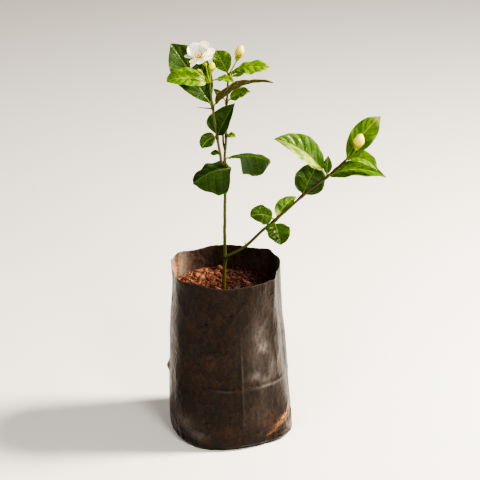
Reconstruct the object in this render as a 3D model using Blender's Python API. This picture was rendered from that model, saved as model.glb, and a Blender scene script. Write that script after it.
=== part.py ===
"""Young double jasmine growing in a black polythene nursery bag filled with red soil.

Lengths are written in millimetres and turned into metres when a mesh is made. The origin is the
middle of the bag's flat bottom, +Z is up, and the plant's open side looks along -Y. Headings are
degrees round +Z from +X, and a rise is degrees above the horizontal.
"""
import math

import bmesh
import bpy
from mathutils import Matrix, Vector, noise

MM = 0.001
UP = Vector((0, 0, 1))

# The bag: a lay-flat film tube 165 wide, opened round, with a folded and welded bottom
BAG_RIM_HEIGHT = 152.0
BAG_RIM_RADIUS = 48.3
BAG_BELLY_RADIUS = 52.6
BAG_FOOT_RADIUS = 48.0
BAG_FOOT_ROUNDING = 5.0
BAG_RIM_SHIFT = Vector((-4.2, -2.2, 0))
BAG_WALL = 1.1
BAG_SEGMENTS = 40
BAG_LEVELS = (0.0, 1.6, 6.0, 20.0, 38.0, 51.0, 57.0, 63.0, 74.0, 92.0, 112.0, 132.0, 145.0, 152.0)
WELD_HEIGHT = 57.0

# The soil: filled to 20 below the rim, with crumbs on top
SOIL_LEVEL = 131.5
SOIL_GAP = 0.45
SOIL_TOP_RINGS = 7
SOIL_CRUMB = 1.5

# Stem centre lines, as the plant grew
STEM_FOOT = 74.0
STEM_HOLE_RADIUS = 2.5
TRUNK = ((-4.6, 0, STEM_FOOT), (-4.8, 0, 133), (-3.8, 0, 160), (-4.0, 0, 184),
         (-3.8, 0, 214), (-3.8, 0, 242), (-4.0, 0, 251))
SIDE_BRANCH = ((-1.2, -1.1, 160.9), (3, -2, 163.4), (9, -3, 167.3), (16, -4, 173), (28, -6, 186),
               (39, -7, 196.2), (50.5, -8, 207.5), (61.5, -9, 218.5), (82, -10, 236), (99, -11, 253))
LEFT_SHOOT = ((-6.7, -1.4, 246.8), (-7.6, -2, 253), (-9.9, -5, 268), (-11.3, -7, 278.5),
              (-12.5, -8, 288), (-13.6, -9, 296.5), (-14.8, -10, 306), (-16.3, -10, 319))
RIGHT_SHOOT = ((-3.9, 0.7, 251.4), (-3.4, 1.6, 256), (-2.6, 3, 264.5), (-2.5, 5, 275.5),
               (-2.1, 8, 295.5), (-1.6, 9, 301.5), (-1.2, 10, 311.5), (-0.3, 11, 320.8))
MIDDLE_SHOOT = ((-3.6, 1.6, 255), (-5.2, 3.6, 262), (-5.6, 6.5, 274), (-5.7, 9, 284), (-5.5, 10, 290))

# Sections and thicknesses
STEM_SIDES = 6
PETIOLE_SIDES = 5
PETIOLE_RADIUS = 0.75
BLADE_THICKNESS = 0.75
PETAL_THICKNESS = 0.7
MIDRIB_STEPS = 60
LEAF_STATIONS = 7
LEAF_COLUMNS = 4
SEAT_GAP = 0.35
BLOOM_TUBE_LENGTH = 6.5


def lerp(a, b, t):
    return a + (b - a) * t


def smooth(edge0, edge1, x):
    t = min(max((x - edge0) / (edge1 - edge0), 0.0), 1.0)
    return t * t * (3 - 2 * t)


def bump(angle, centre, width):
    """A round hump of height 1 at the centre, all angles in degrees."""
    away = (angle - centre + 180) % 360 - 180
    return math.exp(-(away / width) ** 2)


def direction(heading, rise):
    h, r = math.radians(heading), math.radians(rise)
    return Vector((math.cos(h) * math.cos(r), math.sin(h) * math.cos(r), math.sin(r)))


def smooth_path(points, steps=4):
    """Catmull-Rom curve through the points."""
    pts = [Vector(p) for p in points]
    ends = [pts[0] * 2 - pts[1]] + pts + [pts[-1] * 2 - pts[-2]]
    path = []
    for a, b, c, d in zip(ends, ends[1:], ends[2:], ends[3:]):
        for k in range(steps):
            t = k / steps
            path.append(0.5 * (2 * b + (c - a) * t + (2 * a - 5 * b + 4 * c - d) * t * t
                               + (3 * b - a - 3 * c + d) * t ** 3))
    path.append(pts[-1])
    return path


def on_stem(stem, height):
    """The point of a stem's centre line at a height above the ground."""
    path = smooth_path(stem)
    for low, high in zip(path, path[1:]):
        if low.z <= height <= high.z:
            return low.lerp(high, (height - low.z) / (high.z - low.z))
    return path[-1]


def make_material(name, colour, roughness):
    material = bpy.data.materials.new(name)
    material.use_nodes = True
    shader = material.node_tree.nodes["Principled BSDF"]
    shader.inputs["Base Color"].default_value = (*colour, 1)
    shader.inputs["Roughness"].default_value = roughness
    shader.inputs["Metallic"].default_value = 0.0
    return material


def make_object(name, points, faces, material=None):
    mesh = bpy.data.meshes.new(name)
    mesh.from_pydata([Vector(p) * MM for p in points], [], faces)
    mesh.validate()
    solid = bpy.data.objects.new(name, mesh)
    bpy.context.scene.collection.objects.link(solid)
    if material:
        mesh.materials.append(material)
    return solid


def rings_to_faces(rings, size, last_rising=None):
    """Triangles between successive rings, split along the same diagonals where rings come down."""
    faces = []
    for r in range(rings - 1):
        rising = last_rising is None or r < last_rising
        for k in range(size):
            a = r * size + k
            b = r * size + (k + 1) % size
            c, d = b + size, a + size
            faces += [(a, b, c), (a, c, d)] if rising else [(a, b, d), (b, c, d)]
    return faces


def tube(path, radii, sides):
    """Points and faces of a capped tube swept along a path."""
    points = []
    side = (path[1] - path[0]).orthogonal().normalized()
    for i, centre in enumerate(path):
        ahead = path[min(i + 1, len(path) - 1)] - path[max(i - 1, 0)]
        ahead.normalize()
        side = (side - ahead * side.dot(ahead)).normalized()
        other = ahead.cross(side)
        radius = radii[i]
        for k in range(sides):
            turn = 2 * math.pi * k / sides
            points.append(centre + (side * math.cos(turn) + other * math.sin(turn)) * radius)
    faces = rings_to_faces(len(path), sides)
    faces.append(tuple(reversed(range(sides))))
    faces.append(tuple(range(len(points) - sides, len(points))))
    return points, faces


def stem_tube(line, radius_low, radius_high, nodes=()):
    """A stem with a slight swelling at each leaf node, given as heights."""
    path = smooth_path(line, steps=3)
    radii = []
    for i, centre in enumerate(path):
        radius = lerp(radius_low, radius_high, i / (len(path) - 1))
        swell = sum(math.exp(-((centre.z - node) / 2.5) ** 2) for node in nodes)
        radii.append(radius * (1 + 0.35 * swell))
    return tube(path, radii, STEM_SIDES)


def thick_sheet(grid, thickness):
    """A closed blade under a grid of points, with the same triangles on both of its faces."""
    rows, cols = len(grid), len(grid[0])
    top = [p for row in grid for p in row]
    bottom = []
    for i in range(rows):
        for j in range(cols):
            along = grid[min(i + 1, rows - 1)][j] - grid[max(i - 1, 0)][j]
            across = grid[i][min(j + 1, cols - 1)] - grid[i][max(j - 1, 0)]
            normal = along.cross(across).normalized()
            bottom.append(grid[i][j] - normal * thickness)
    under = len(top)
    faces = []
    for i in range(rows - 1):
        for j in range(cols - 1):
            a, b = i * cols + j, i * cols + j + 1
            c, d = b + cols, a + cols
            faces += [(a, d, c), (a, c, b)]
            faces += [(under + a, under + c, under + d), (under + a, under + b, under + c)]
    edge = [j for j in range(cols)]
    edge += [i * cols + cols - 1 for i in range(1, rows)]
    edge += [(rows - 1) * cols + j for j in range(cols - 2, -1, -1)]
    edge += [i * cols for i in range(rows - 2, 0, -1)]
    for a, b in zip(edge, edge[1:] + edge[:1]):
        faces.append((a, b, under + b, under + a))
    return top + bottom, faces


def blade_outline(s, widest, fullness):
    """Half width along a blade from 0 at its base to 1 at its tip, as a share of the greatest."""
    power = math.log(0.5) / math.log(widest)
    return max(math.sin(math.pi * s ** power), 0.0) ** fullness


def bent_path(start, heading, rise, length, droop, bend, steps):
    """A midrib that starts in a direction and droops along its length."""
    path = [start]
    fine = 6
    here = start
    for i in range(steps * fine):
        s = ((i + 0.5) / (steps * fine)) ** bend
        here = here + direction(heading, rise - droop * s) * (length / steps / fine)
        if (i + 1) % fine == 0:
            path.append(here)
    return path


def leaf(stem, height, heading, rise, length, width, droop=30, bend=1.0, face=(0, 90),
         fold=(12, 12), halves=(1, 1), petiole=4, widest=0.42, full=0.8, wave=0.7, waves=2.5,
         torn=0, clear=(0, 0, 0)):
    """Meshes of a leaf on its petiole.

    face is where the upper side looks, fold the lift of the left and right halves in degrees,
    halves their widths as shares of the plain one, torn the share of the right half that is missing
    from the base, and clear a shift that takes the leaf round the stem, with its petiole reaching back.
    """
    root = on_stem(stem, height)
    start = root + Vector(clear)
    stalk_steps = 3
    steps = LEAF_STATIONS - 1
    whole = bent_path(start, heading, rise, length + petiole, droop, bend, MIDRIB_STEPS)
    split = round(MIDRIB_STEPS * petiole / (length + petiole))
    shares = [i / steps for i in range(steps + 1)]
    if torn:
        shares[1:3] = torn - 0.04, torn + 0.04
    at = [split + round((MIDRIB_STEPS - split) * share) for share in shares]
    looks = direction(*face)
    grid = []
    for i, k in enumerate(at):
        s = (k - split) / (MIDRIB_STEPS - split)
        ahead = (whole[min(k + 1, MIDRIB_STEPS)] - whole[k - 1]).normalized()
        normal = (looks - ahead * looks.dot(ahead)).normalized()
        left = normal.cross(ahead)
        half = width / 2 * blade_outline(min(max(s, 0.03), 0.97), widest, full)
        row = []
        for j in range(LEAF_COLUMNS + 1):
            u = 2 * j / LEAF_COLUMNS - 1
            lift = math.radians(fold[0] if u > 0 else fold[1])
            reach = half * abs(u) * (halves[0] if u > 0 else halves[1])
            if u < 0 and torn:
                reach *= lerp(0.12, 1.0, smooth(torn - 0.03, torn + 0.03, s))
            ripple = wave * u * u * math.sin(2 * math.pi * waves * s + (2.1 if u > 0 else 0.0))
            ripple *= math.sin(math.pi * s)
            offset = left * math.copysign(reach * math.cos(lift), u)
            row.append(whole[k] + offset + normal * (reach * math.sin(lift) + ripple))
        grid.append(list(reversed(row)))
    blade = thick_sheet(grid, BLADE_THICKNESS)
    stalk_at = [round((split + 3) * i / stalk_steps) for i in range(stalk_steps + 1)]
    stalk_path = [whole[k] - UP * 0.1 for k in stalk_at]
    stalk_path[0] = root
    stalk = tube(stalk_path, [PETIOLE_RADIUS] * (stalk_steps + 1), PETIOLE_SIDES)
    return [blade, stalk]


def fuse(name, shapes, material):
    """One solid from shapes that overlap: a Boolean union with a collection, applied."""
    base = make_object(name, *shapes[0], material)
    others = bpy.data.collections.new(name + "_shapes")
    loose = []
    for k, (points, faces) in enumerate(shapes[1:]):
        solid = make_object("{}_shape_{}".format(name, k), points, faces)
        bpy.context.scene.collection.objects.unlink(solid)
        others.objects.link(solid)
        loose.append(solid)
    bpy.context.scene.collection.children.link(others)
    union = base.modifiers.new("union", "BOOLEAN")
    union.operation = "UNION"
    union.operand_type = "COLLECTION"
    union.collection = others
    union.solver = "MANIFOLD"
    bpy.context.view_layer.update()
    evaluated = base.evaluated_get(bpy.context.evaluated_depsgraph_get())
    joined = bpy.data.meshes.new_from_object(evaluated)
    base.modifiers.remove(union)
    plain = base.data
    base.data = joined
    bpy.data.meshes.remove(plain)
    for solid in loose:
        mesh = solid.data
        bpy.data.objects.remove(solid)
        bpy.data.meshes.remove(mesh)
    bpy.data.collections.remove(others)
    joined.materials.clear()
    joined.materials.append(material)
    keep_main_body(joined)
    return base


def keep_main_body(mesh):
    """Drops loose scraps and sealed hollows, so that only the largest connected shell stays."""
    bm = bmesh.new()
    bm.from_mesh(mesh)
    bmesh.ops.triangulate(bm, faces=bm.faces)
    left = set(bm.verts)
    shells = []
    while left:
        shell = {left.pop()}
        front = list(shell)
        while front:
            vert = front.pop()
            for edge in vert.link_edges:
                other = edge.other_vert(vert)
                if other in left:
                    left.remove(other)
                    shell.add(other)
                    front.append(other)
        shells.append(shell)
    shells.sort(key=len)
    for shell in shells[:-1]:
        bmesh.ops.delete(bm, geom=list(shell), context="VERTS")
    bm.to_mesh(mesh)
    bm.free()


def bag_point(angle, height, inset=0.0):
    """Outer face of the bag at an angle in degrees and a height, moved in by the inset."""
    up = height / BAG_RIM_HEIGHT
    belly = lerp(BAG_BELLY_RADIUS, BAG_RIM_RADIUS, smooth(0.1, 1.05, up))
    foot = smooth(-BAG_FOOT_ROUNDING, BAG_FOOT_ROUNDING, height)
    radius = lerp(BAG_FOOT_RADIUS, belly, foot)
    top, low = smooth(0.55, 1.0, up), 1 - smooth(0.0, 0.5, up)
    radius += 5.0 * top * bump(angle, 43, 13)
    radius -= 1.6 * smooth(0.35, 0.9, up) * (bump(angle, -8, 14) + bump(angle, 62, 12))
    radius += 1.7 * smooth(0.3, 0.8, up) * bump(angle, -33, 7)
    radius -= 3.2 * top * bump(angle, 183, 32)
    radius += 5.8 * low * bump(angle, 243, 28) + 5.2 * low * bump(angle, 334, 20)
    radius -= 2.4 * bump(angle, -56, 13) * math.exp(-((height - 82) / 16) ** 2)
    if not inset:
        radius += 2.2 * bump(angle, 181, 5) * math.exp(-((height - WELD_HEIGHT) / 4) ** 2)
    radius += 0.7 * bump(angle, -62, 34) * math.exp(-((height - WELD_HEIGHT) / 2.2) ** 2)
    radius += 2.2 * smooth(0.86, 1.0, up) * bump(angle, 168, 16)
    radius += 0.5 * math.sin(math.radians(angle * 7 + 40)) * smooth(0.1, 0.6, up)
    radius -= inset
    turn = math.radians(angle)
    sway = BAG_RIM_SHIFT * up
    return Vector((radius * math.cos(turn), radius * math.sin(turn), height)) + sway


def rim_lift(angle):
    """How far the hand-cut rim stands above or below its mean height."""
    lift = 1.1 * math.sin(math.radians(2 * angle + 25)) + 0.7 * math.sin(math.radians(5 * angle))
    lift = lift + 3.2 * bump(angle, 146, 13) - 1.6 * bump(angle, 159, 4)
    return lift + 1.2 * bump(angle, 170, 6) - 2.2 * bump(angle, 222, 18)


def bag_ring(height, inset):
    ring = []
    for k in range(BAG_SEGMENTS):
        angle = 360 * k / BAG_SEGMENTS
        point = bag_point(angle, height, inset)
        point.z += rim_lift(angle) * smooth(0.8, 1.0, height / BAG_RIM_HEIGHT)
        ring.append(point)
    return ring


def make_bag(material):
    points = []
    for height in BAG_LEVELS:
        points += bag_ring(height, 0.0)
    for height in reversed(BAG_LEVELS[1:]):
        points += bag_ring(height, BAG_WALL)
    rings = 2 * len(BAG_LEVELS) - 1
    faces = rings_to_faces(rings, BAG_SEGMENTS, last_rising=len(BAG_LEVELS) - 1)
    faces.append(tuple(reversed(range(BAG_SEGMENTS))))
    faces.append(tuple(range(len(points) - BAG_SEGMENTS, len(points))))
    return make_object("nursery_bag", points, faces, material)


def soil_height(x, y):
    """Crumbs and clods on the soil's surface, fading out at the film."""
    clods = noise.noise(Vector((x * 0.09, y * 0.09, 4.0))) * 2.2
    crumbs = noise.noise(Vector((x * 0.32, y * 0.32, 9.0))) * SOIL_CRUMB
    dip = -2.4 * math.exp(-((x - 4) ** 2 + (y + 8) ** 2) / 260)
    return SOIL_LEVEL + clods + crumbs + dip


def make_soil(material):
    levels = [z for z in BAG_LEVELS if 0 < z < SOIL_LEVEL - 6]
    points = []
    for height in levels:
        points += bag_ring(height, BAG_WALL + SOIL_GAP)
    for point in points[:BAG_SEGMENTS]:
        point.z += SOIL_GAP
    middle = bag_ring(SOIL_LEVEL, BAG_WALL + SOIL_GAP)
    centre = sum(middle, Vector()) / len(middle)
    for ring in range(SOIL_TOP_RINGS):
        share = 1 - ring / SOIL_TOP_RINGS
        for point in middle:
            spot = centre.lerp(point, share)
            settle = soil_height(spot.x, spot.y) - SOIL_LEVEL
            points.append(Vector((spot.x, spot.y, SOIL_LEVEL + settle * min(1.0, 2.2 - 2 * share))))
    points.append(Vector((centre.x, centre.y, soil_height(centre.x, centre.y))))
    rings = len(levels) + SOIL_TOP_RINGS
    faces = rings_to_faces(rings, BAG_SEGMENTS)
    faces.append(tuple(reversed(range(BAG_SEGMENTS))))
    last = (rings - 1) * BAG_SEGMENTS
    for k in range(BAG_SEGMENTS):
        faces.append((last + k, last + (k + 1) % BAG_SEGMENTS, len(points) - 1))
    return make_object("soil", points, faces, material)


def cut_stem_hole(soil):
    """A plain hole that the buried foot of the stem stands in."""
    path = [Vector((-4.7, 0, STEM_FOOT - 3)), Vector((-4.8, 0, SOIL_LEVEL + 12))]
    cutter = make_object("stem_hole_cutter", *tube(path, [STEM_HOLE_RADIUS] * 2, 12))
    cutter.hide_render = True
    cutter.display_type = "WIRE"
    hole = soil.modifiers.new("stem_hole", "BOOLEAN")
    hole.operation = "DIFFERENCE"
    hole.object = cutter
    hole.solver = "EXACT"


def bud(base, axis, length, width, sides=8, rings=7, seams=0.05, blunt=0.62, flare=0.5):
    """A closed bud along an axis, fullest at its middle, with the seams of its rolled petals."""
    ahead = axis.normalized()
    side = ahead.orthogonal().normalized()
    other = ahead.cross(side)
    points = []
    for r in range(rings):
        s = lerp(0.03, 0.97, r / (rings - 1))
        radius = width / 2 * max(math.sin(math.pi * s ** 0.85), 0) ** blunt
        radius = max(radius, width / 2 * flare * (1 - s) ** 2)
        for k in range(sides):
            turn = 2 * math.pi * k / sides + 1.4 * s
            seam = 1 + seams * math.cos(4 * (turn - 2.6 * s))
            spoke = side * math.cos(turn) + other * math.sin(turn)
            points.append(base + ahead * (length * s) + spoke * (radius * seam))
    faces = rings_to_faces(rings, sides)
    faces.append(tuple(reversed(range(sides))))
    faces.append(tuple(range(len(points) - sides, len(points))))
    return points, faces


def calyx(base, axis, cup_radius, cup_length, lobes, lobe_length, spread):
    """Meshes of a green cup with narrow lobes standing round its mouth."""
    ahead = axis.normalized()
    side = ahead.orthogonal().normalized()
    cup_path = [base - ahead * 0.6, base + ahead * cup_length * 0.5, base + ahead * cup_length]
    shapes = [tube(cup_path, [cup_radius * 0.6, cup_radius, cup_radius], STEM_SIDES)]
    for k in range(lobes):
        spoke = Matrix.Rotation(2 * math.pi * k / lobes, 3, ahead) @ side
        root = base + ahead * (cup_length - 0.8) + spoke * (cup_radius * 0.75)
        bow = root + ahead * (lobe_length * 0.5) + spoke * spread
        tip = root + ahead * lobe_length + spoke * (spread * 1.7)
        shapes.append(tube([root, bow, tip], [0.5, 0.45, 0.25], 4))
    return shapes


def side_of(axis, around):
    """A direction square to an axis, on its +X side, turned round it by an angle in degrees."""
    right = Vector((1, 0, 0))
    right = (right - axis * right.dot(axis)).normalized()
    return Matrix.Rotation(math.radians(around), 3, axis) @ right


def petal(base, axis, around, opening, length, width, curl, cup, wave=0.3):
    """A petal that leaves the axis at the opening angle and curls out along its length."""
    ahead = axis.normalized()
    spoke = side_of(ahead, around)
    stations, columns = 5, 3
    fine = 6
    here = Vector(base)
    grid = []
    for i in range(stations):
        s = i / (stations - 1)
        lean = math.radians(opening + curl * s)
        along = ahead * math.cos(lean) + spoke * math.sin(lean)
        normal = ahead * math.sin(lean) - spoke * math.cos(lean)
        left = normal.cross(along)
        half = width / 2 * max(blade_outline(lerp(0.05, 0.95, s), 0.6, 0.6), 0.2)
        row = []
        for j in range(columns + 1):
            u = 1 - 2 * j / columns
            lift = cup * half * u * u + wave * u * math.sin(5 * s + around)
            row.append(here + left * (half * u) + normal * lift)
        grid.append(row)
        for k in range(fine):
            turn = math.radians(opening + curl * (s + (k + 0.5) / fine / (stations - 1)))
            step = ahead * math.cos(turn) + spoke * math.sin(turn)
            here = here + step * (length / fine / (stations - 1))
    return thick_sheet(grid, PETAL_THICKNESS)


MAIN_LEAVES = (
    dict(height=243.5, heading=190, rise=2, length=34.5, width=47, droop=44, face=(-90, 82),
         fold=(-64, -10), halves=(0.91, 0.97), clear=(5.5, -3.5, -1.5), petiole=1, widest=0.34, full=0.4,
         wave=1.2),
    dict(height=247.5, heading=-8, rise=16, length=37, width=33, droop=44, bend=1.5, face=(90, 70),
         fold=(10, -80), clear=(0, 0, 1.8), petiole=3, widest=0.62, full=0.15, torn=0.3, wave=0.4),
)
LEFT_LEAVES = (
    dict(height=253.5, heading=150, rise=20, length=8, width=6, droop=50, face=(-90, 50), petiole=2,
         wave=0.2),
    dict(height=269.5, heading=200, rise=12, length=15, width=13, droop=85, face=(-90, 40), petiole=2,
         full=0.6),
    dict(height=270.5, heading=24, rise=63, length=29.5, width=34, droop=8, face=(-100, 20),
         fold=(2, 58), halves=(0.82, 0.8), petiole=2, widest=0.26, full=0.8, wave=1.0),
    dict(height=297, heading=155, rise=56, length=58, width=34, droop=6, face=(-80, 25), fold=(10, 10),
         halves=(0.9, 1), petiole=5, widest=0.55, full=0.62, wave=1.0),
    dict(height=297, heading=-8, rise=59, length=54.5, width=22, droop=67, face=(90, 67), fold=(12, 12),
         petiole=5, wave=0.8),
    dict(height=318.5, heading=198, rise=29, length=33.5, width=23.5, droop=42, face=(-90, 66),
         petiole=4, full=0.5, wave=0.6, waves=3.0),
    dict(height=318.5, heading=-35, rise=44, length=18, width=9, droop=64, face=(-90, 66), petiole=9),
)
RIGHT_LEAVES = (
    dict(height=268, heading=-35, rise=35, length=8, width=6.5, droop=60, face=(-90, 50), petiole=2,
         wave=0.3),
    dict(height=296, heading=-25, rise=55, length=21, width=12.5, droop=52, face=(-90, 50), petiole=5,
         wave=0.8),
    dict(height=296, heading=155, rise=50, length=11, width=6, droop=20, face=(-90, 50), petiole=5,
         wave=0.3),
    dict(height=319, heading=150, rise=62, length=20, width=18, droop=10, face=(-95, 22),
         halves=(0.82, 1), petiole=3, widest=0.55, full=0.6, wave=1.2),
    dict(height=319.5, heading=-18, rise=38, length=35, width=17, droop=50, face=(-90, 68),
         halves=(0.84, 1.5), petiole=4, widest=0.55, full=0.65, wave=0.9, waves=3.0),
    dict(height=317, heading=42, rise=12, length=16, width=9, droop=14, face=(-90, 60), petiole=3,
         wave=0.4),
)
SIDE_LEAVES = (
    dict(height=196, heading=206, rise=48, length=21.5, width=18, droop=60, face=(-90, 45),
         halves=(1.15, 0.92), petiole=4, widest=0.5, full=0.5, wave=1.0),
    dict(height=196.5, heading=28, rise=62, length=24, width=12, droop=42, face=(-100, 35),
         halves=(1.2, 0.85), petiole=3, wave=0.7),
    dict(height=195, heading=-76, rise=-8, length=22.5, width=22, droop=40, face=(-70, 45), petiole=4,
         full=0.5, wave=1.2),
    dict(height=218.5, heading=35, rise=64, length=28, width=28, droop=14, face=(-95, 20),
         halves=(0.9, 1), petiole=2.5, full=0.55, wave=1.0),
    dict(height=235.5, heading=177, rise=69, length=49.5, width=25, droop=58, bend=0.85, face=(-90, 56),
         fold=(34, 18), halves=(1.3, 1.08), petiole=8, widest=0.47, full=0.8, wave=0.8),
    dict(height=236, heading=80, rise=72, length=15, width=8.0, droop=8, face=(-90, 25), petiole=3,
         wave=0.3),
    dict(height=235.5, heading=-15, rise=38, length=50, width=23, droop=64, face=(-90, 64),
         fold=(16, 24), halves=(0.75, 1.25), petiole=4, wave=1.0),
    dict(height=251.5, heading=17, rise=62, length=44, width=25, droop=24, face=(-90, 22),
         halves=(0.78, 0.86), petiole=3, widest=0.52, full=0.65, wave=1.2),
    dict(height=251.5, heading=-32, rise=36, length=30, width=16, droop=84, face=(-90, 62),
         fold=(20, 30), petiole=3, wave=0.8),
)


def leaves_of(stem, leaves):
    shapes = []
    for facts in leaves:
        shapes += leaf(stem, **facts)
    return shapes


def make_main_stem(green):
    shapes = [stem_tube(TRUNK, 1.75, 1.15, nodes=(159, 243.5, 250))]
    shapes += leaves_of(TRUNK, MAIN_LEAVES)
    return fuse("main_leafy_stem", shapes, green)


OPEN_BLOOM_BASE = Vector((-19.1, -8.6, 333.3))
OPEN_BLOOM_AXIS = direction(219, 55)
YOUNG_BUD_BASE = Vector((-15.0, -12.8, 328.5))
YOUNG_BUD_AXIS = direction(-60, 70)
SMALL_BUD_BASE = Vector((-21.4, -9.0, 325.5))
SMALL_BUD_AXIS = direction(190, 50)
UPPER_BUD_BASE = Vector((6.4, 12.0, 331.8))
UPPER_BUD_AXIS = direction(0, 72)
SIDE_BUD_BASE = Vector((105.6, -18.0, 263.4))
SIDE_BUD_AXIS = direction(-20, 74)


def make_left_shoot(green):
    shapes = [stem_tube(LEFT_SHOOT, 1.1, 0.9, nodes=(269.5, 297, 318.5))]
    shapes += leaves_of(LEFT_SHOOT, LEFT_LEAVES)
    top = Vector(LEFT_SHOOT[-1]) - UP
    for base, axis, cup, lobes, reach, spread in (
            (OPEN_BLOOM_BASE, OPEN_BLOOM_AXIS, 1.6, 7, 5.5, 0.9),
            (YOUNG_BUD_BASE, YOUNG_BUD_AXIS, 1.5, 6, 3.5, 1.3),
            (SMALL_BUD_BASE, SMALL_BUD_AXIS, 1.1, 5, 3.4, 0.9)):
        stalk = smooth_path((top, top.lerp(base, 0.55) + UP * 0.6, base + axis * 0.4))
        shapes.append(tube(stalk, [0.7] * len(stalk), PETIOLE_SIDES))
        shapes += calyx(base, axis, cup, 2.6, lobes, reach, spread)
    dry = [Vector((-13.4, -9, 296)), Vector((-20.6, -11, 297.3)), Vector((-26.4, -12, 298.2))]
    shapes.append(tube(dry, [0.6, 0.5, 0.4], 4))
    return fuse("left_leafy_shoot", shapes, green)


def make_right_shoot(green):
    shapes = [stem_tube(RIGHT_SHOOT, 1.0, 0.85, nodes=(268, 296, 319))]
    shapes.append(stem_tube(MIDDLE_SHOOT, 0.9, 0.6))
    shapes += leaves_of(RIGHT_SHOOT, RIGHT_LEAVES)
    top = Vector(RIGHT_SHOOT[-1]) - UP
    bow = top.lerp(UPPER_BUD_BASE, 0.6) - UP * 0.5
    stalk = smooth_path((top, bow, UPPER_BUD_BASE + UPPER_BUD_AXIS * 0.4))
    shapes.append(tube(stalk, [0.75] * len(stalk), PETIOLE_SIDES))
    shapes += calyx(UPPER_BUD_BASE, UPPER_BUD_AXIS, 2.0, 2.6, 7, 3.2, 1.4)
    return fuse("right_leafy_shoot", shapes, green)


def make_side_branch(green):
    shapes = [stem_tube(SIDE_BRANCH, 1.25, 0.9, nodes=(196, 218.5, 236))]
    shapes += leaves_of(SIDE_BRANCH, SIDE_LEAVES)
    top = Vector(SIDE_BRANCH[-1]) - UP
    bow = top.lerp(SIDE_BUD_BASE, 0.5) - UP * 0.8
    stalk = smooth_path((top, bow, SIDE_BUD_BASE + SIDE_BUD_AXIS * 0.4))
    shapes.append(tube(stalk, [0.75] * len(stalk), PETIOLE_SIDES))
    shapes += calyx(SIDE_BUD_BASE, SIDE_BUD_AXIS, 2.0, 2.4, 6, 3.0, 1.7)
    for height, heading in ((171.5, 110), (172.5, 10), (251.5, 250)):
        foot = on_stem(SIDE_BRANCH, height)
        tip = foot + direction(heading, 25) * 4.5
        shapes.append(tube([foot, foot.lerp(tip, 0.6), tip], [0.6, 0.5, 0.4], 4))
    return fuse("side_leafy_branch", shapes, green)


# Around the axis from its +X side, opening from the axis, length, width, curl, cup
OUTER_PETALS = (
    (0, 84, 13.6, 11.0, 8, 0.28),
    (-32, 80, 12.8, 9.5, 14, 0.2),
    (-80, 72, 11.5, 9.0, 14, 0.2),
    (-122, 72, 14.0, 6.5, 16, 0.25),
    (-130, 58, 12.5, 6.0, 14, 0.25),
    (160.5, 68, 15.2, 5.5, 14, 0.2),
    (112, 60, 11.5, 8.0, 8, 0.2),
    (64, 68, 12.0, 8.5, 6, 0.2),
)
CUPPED_PETALS = (
    (38, 69, 14.2, 15.0, -14, 0.3),
    (88, 52, 10.5, 11.0, -20, 0.4),
    (122, 50, 13.8, 12.5, -20, 0.5),
    (64, 50, 11.0, 9.0, -12, 0.35),
    (-15, 66, 10.0, 8.5, -14, 0.4),
)
THROAT_PETALS = (
    (-100, 40, 4.5, 5.0, -10, 0.5),
    (170, 34, 5.5, 5.0, -14, 0.5),
    (20, 34, 6.0, 5.5, -12, 0.5),
    (100, 28, 6.0, 5.5, -10, 0.5),
)


def make_open_bloom(white):
    """Petals in three layers on a narrow tube that stands in its calyx."""
    foot = OPEN_BLOOM_BASE + OPEN_BLOOM_AXIS * (2.6 + SEAT_GAP)
    mouth = foot + OPEN_BLOOM_AXIS * BLOOM_TUBE_LENGTH
    throat = [foot, foot.lerp(mouth, 0.6), mouth + OPEN_BLOOM_AXIS * 1.2]
    shapes = [tube(throat, [0.9, 1.0, 1.9], 8)]
    for facts in OUTER_PETALS + CUPPED_PETALS + THROAT_PETALS:
        shapes.append(petal(mouth, OPEN_BLOOM_AXIS, *facts))
    return fuse("open_bloom", shapes, white)


def make_bud(name, base, axis, length, width, cup_length, material):
    foot = base + axis * (cup_length + SEAT_GAP)
    return make_object(name, *bud(foot, axis, length, width), material)


def main():
    for old in list(bpy.data.objects):
        bpy.data.objects.remove(old)
    film = make_material("black_film", (0.03, 0.027, 0.025), 0.45)
    red_soil = make_material("red_soil", (0.16, 0.05, 0.025), 0.95)
    green = make_material("leaf_green", (0.06, 0.17, 0.02), 0.35)
    white = make_material("petal_white", (0.85, 0.82, 0.74), 0.5)
    ivory = make_material("bud_ivory", (0.80, 0.74, 0.50), 0.5)
    yellow = make_material("young_bud_yellow", (0.75, 0.62, 0.20), 0.5)
    make_bag(film)
    cut_stem_hole(make_soil(red_soil))
    make_main_stem(green)
    make_left_shoot(green)
    make_right_shoot(green)
    make_side_branch(green)
    make_open_bloom(white)
    make_bud("young_bud", YOUNG_BUD_BASE, YOUNG_BUD_AXIS, 7.0, 5.0, 2.6, yellow)
    make_bud("small_bud", SMALL_BUD_BASE, SMALL_BUD_AXIS, 4.0, 2.2, 2.6, yellow)
    make_bud("upper_bud", UPPER_BUD_BASE, UPPER_BUD_AXIS, 10.5, 7.2, 2.6, ivory)
    make_bud("side_bud", SIDE_BUD_BASE, SIDE_BUD_AXIS, 12.0, 9.0, 2.4, ivory)


main()
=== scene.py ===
"""Looks of a young double jasmine in a black nursery bag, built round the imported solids.

Lengths are millimetres until a mesh is made, headings are degrees round +Z from +X, and a rise is
degrees above the horizontal. The plant grows from the same stem lines and leaf facts as the solids.
"""

import math
import random
from types import SimpleNamespace

import bmesh
import bpy
import numpy as np
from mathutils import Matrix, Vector, noise


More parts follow.
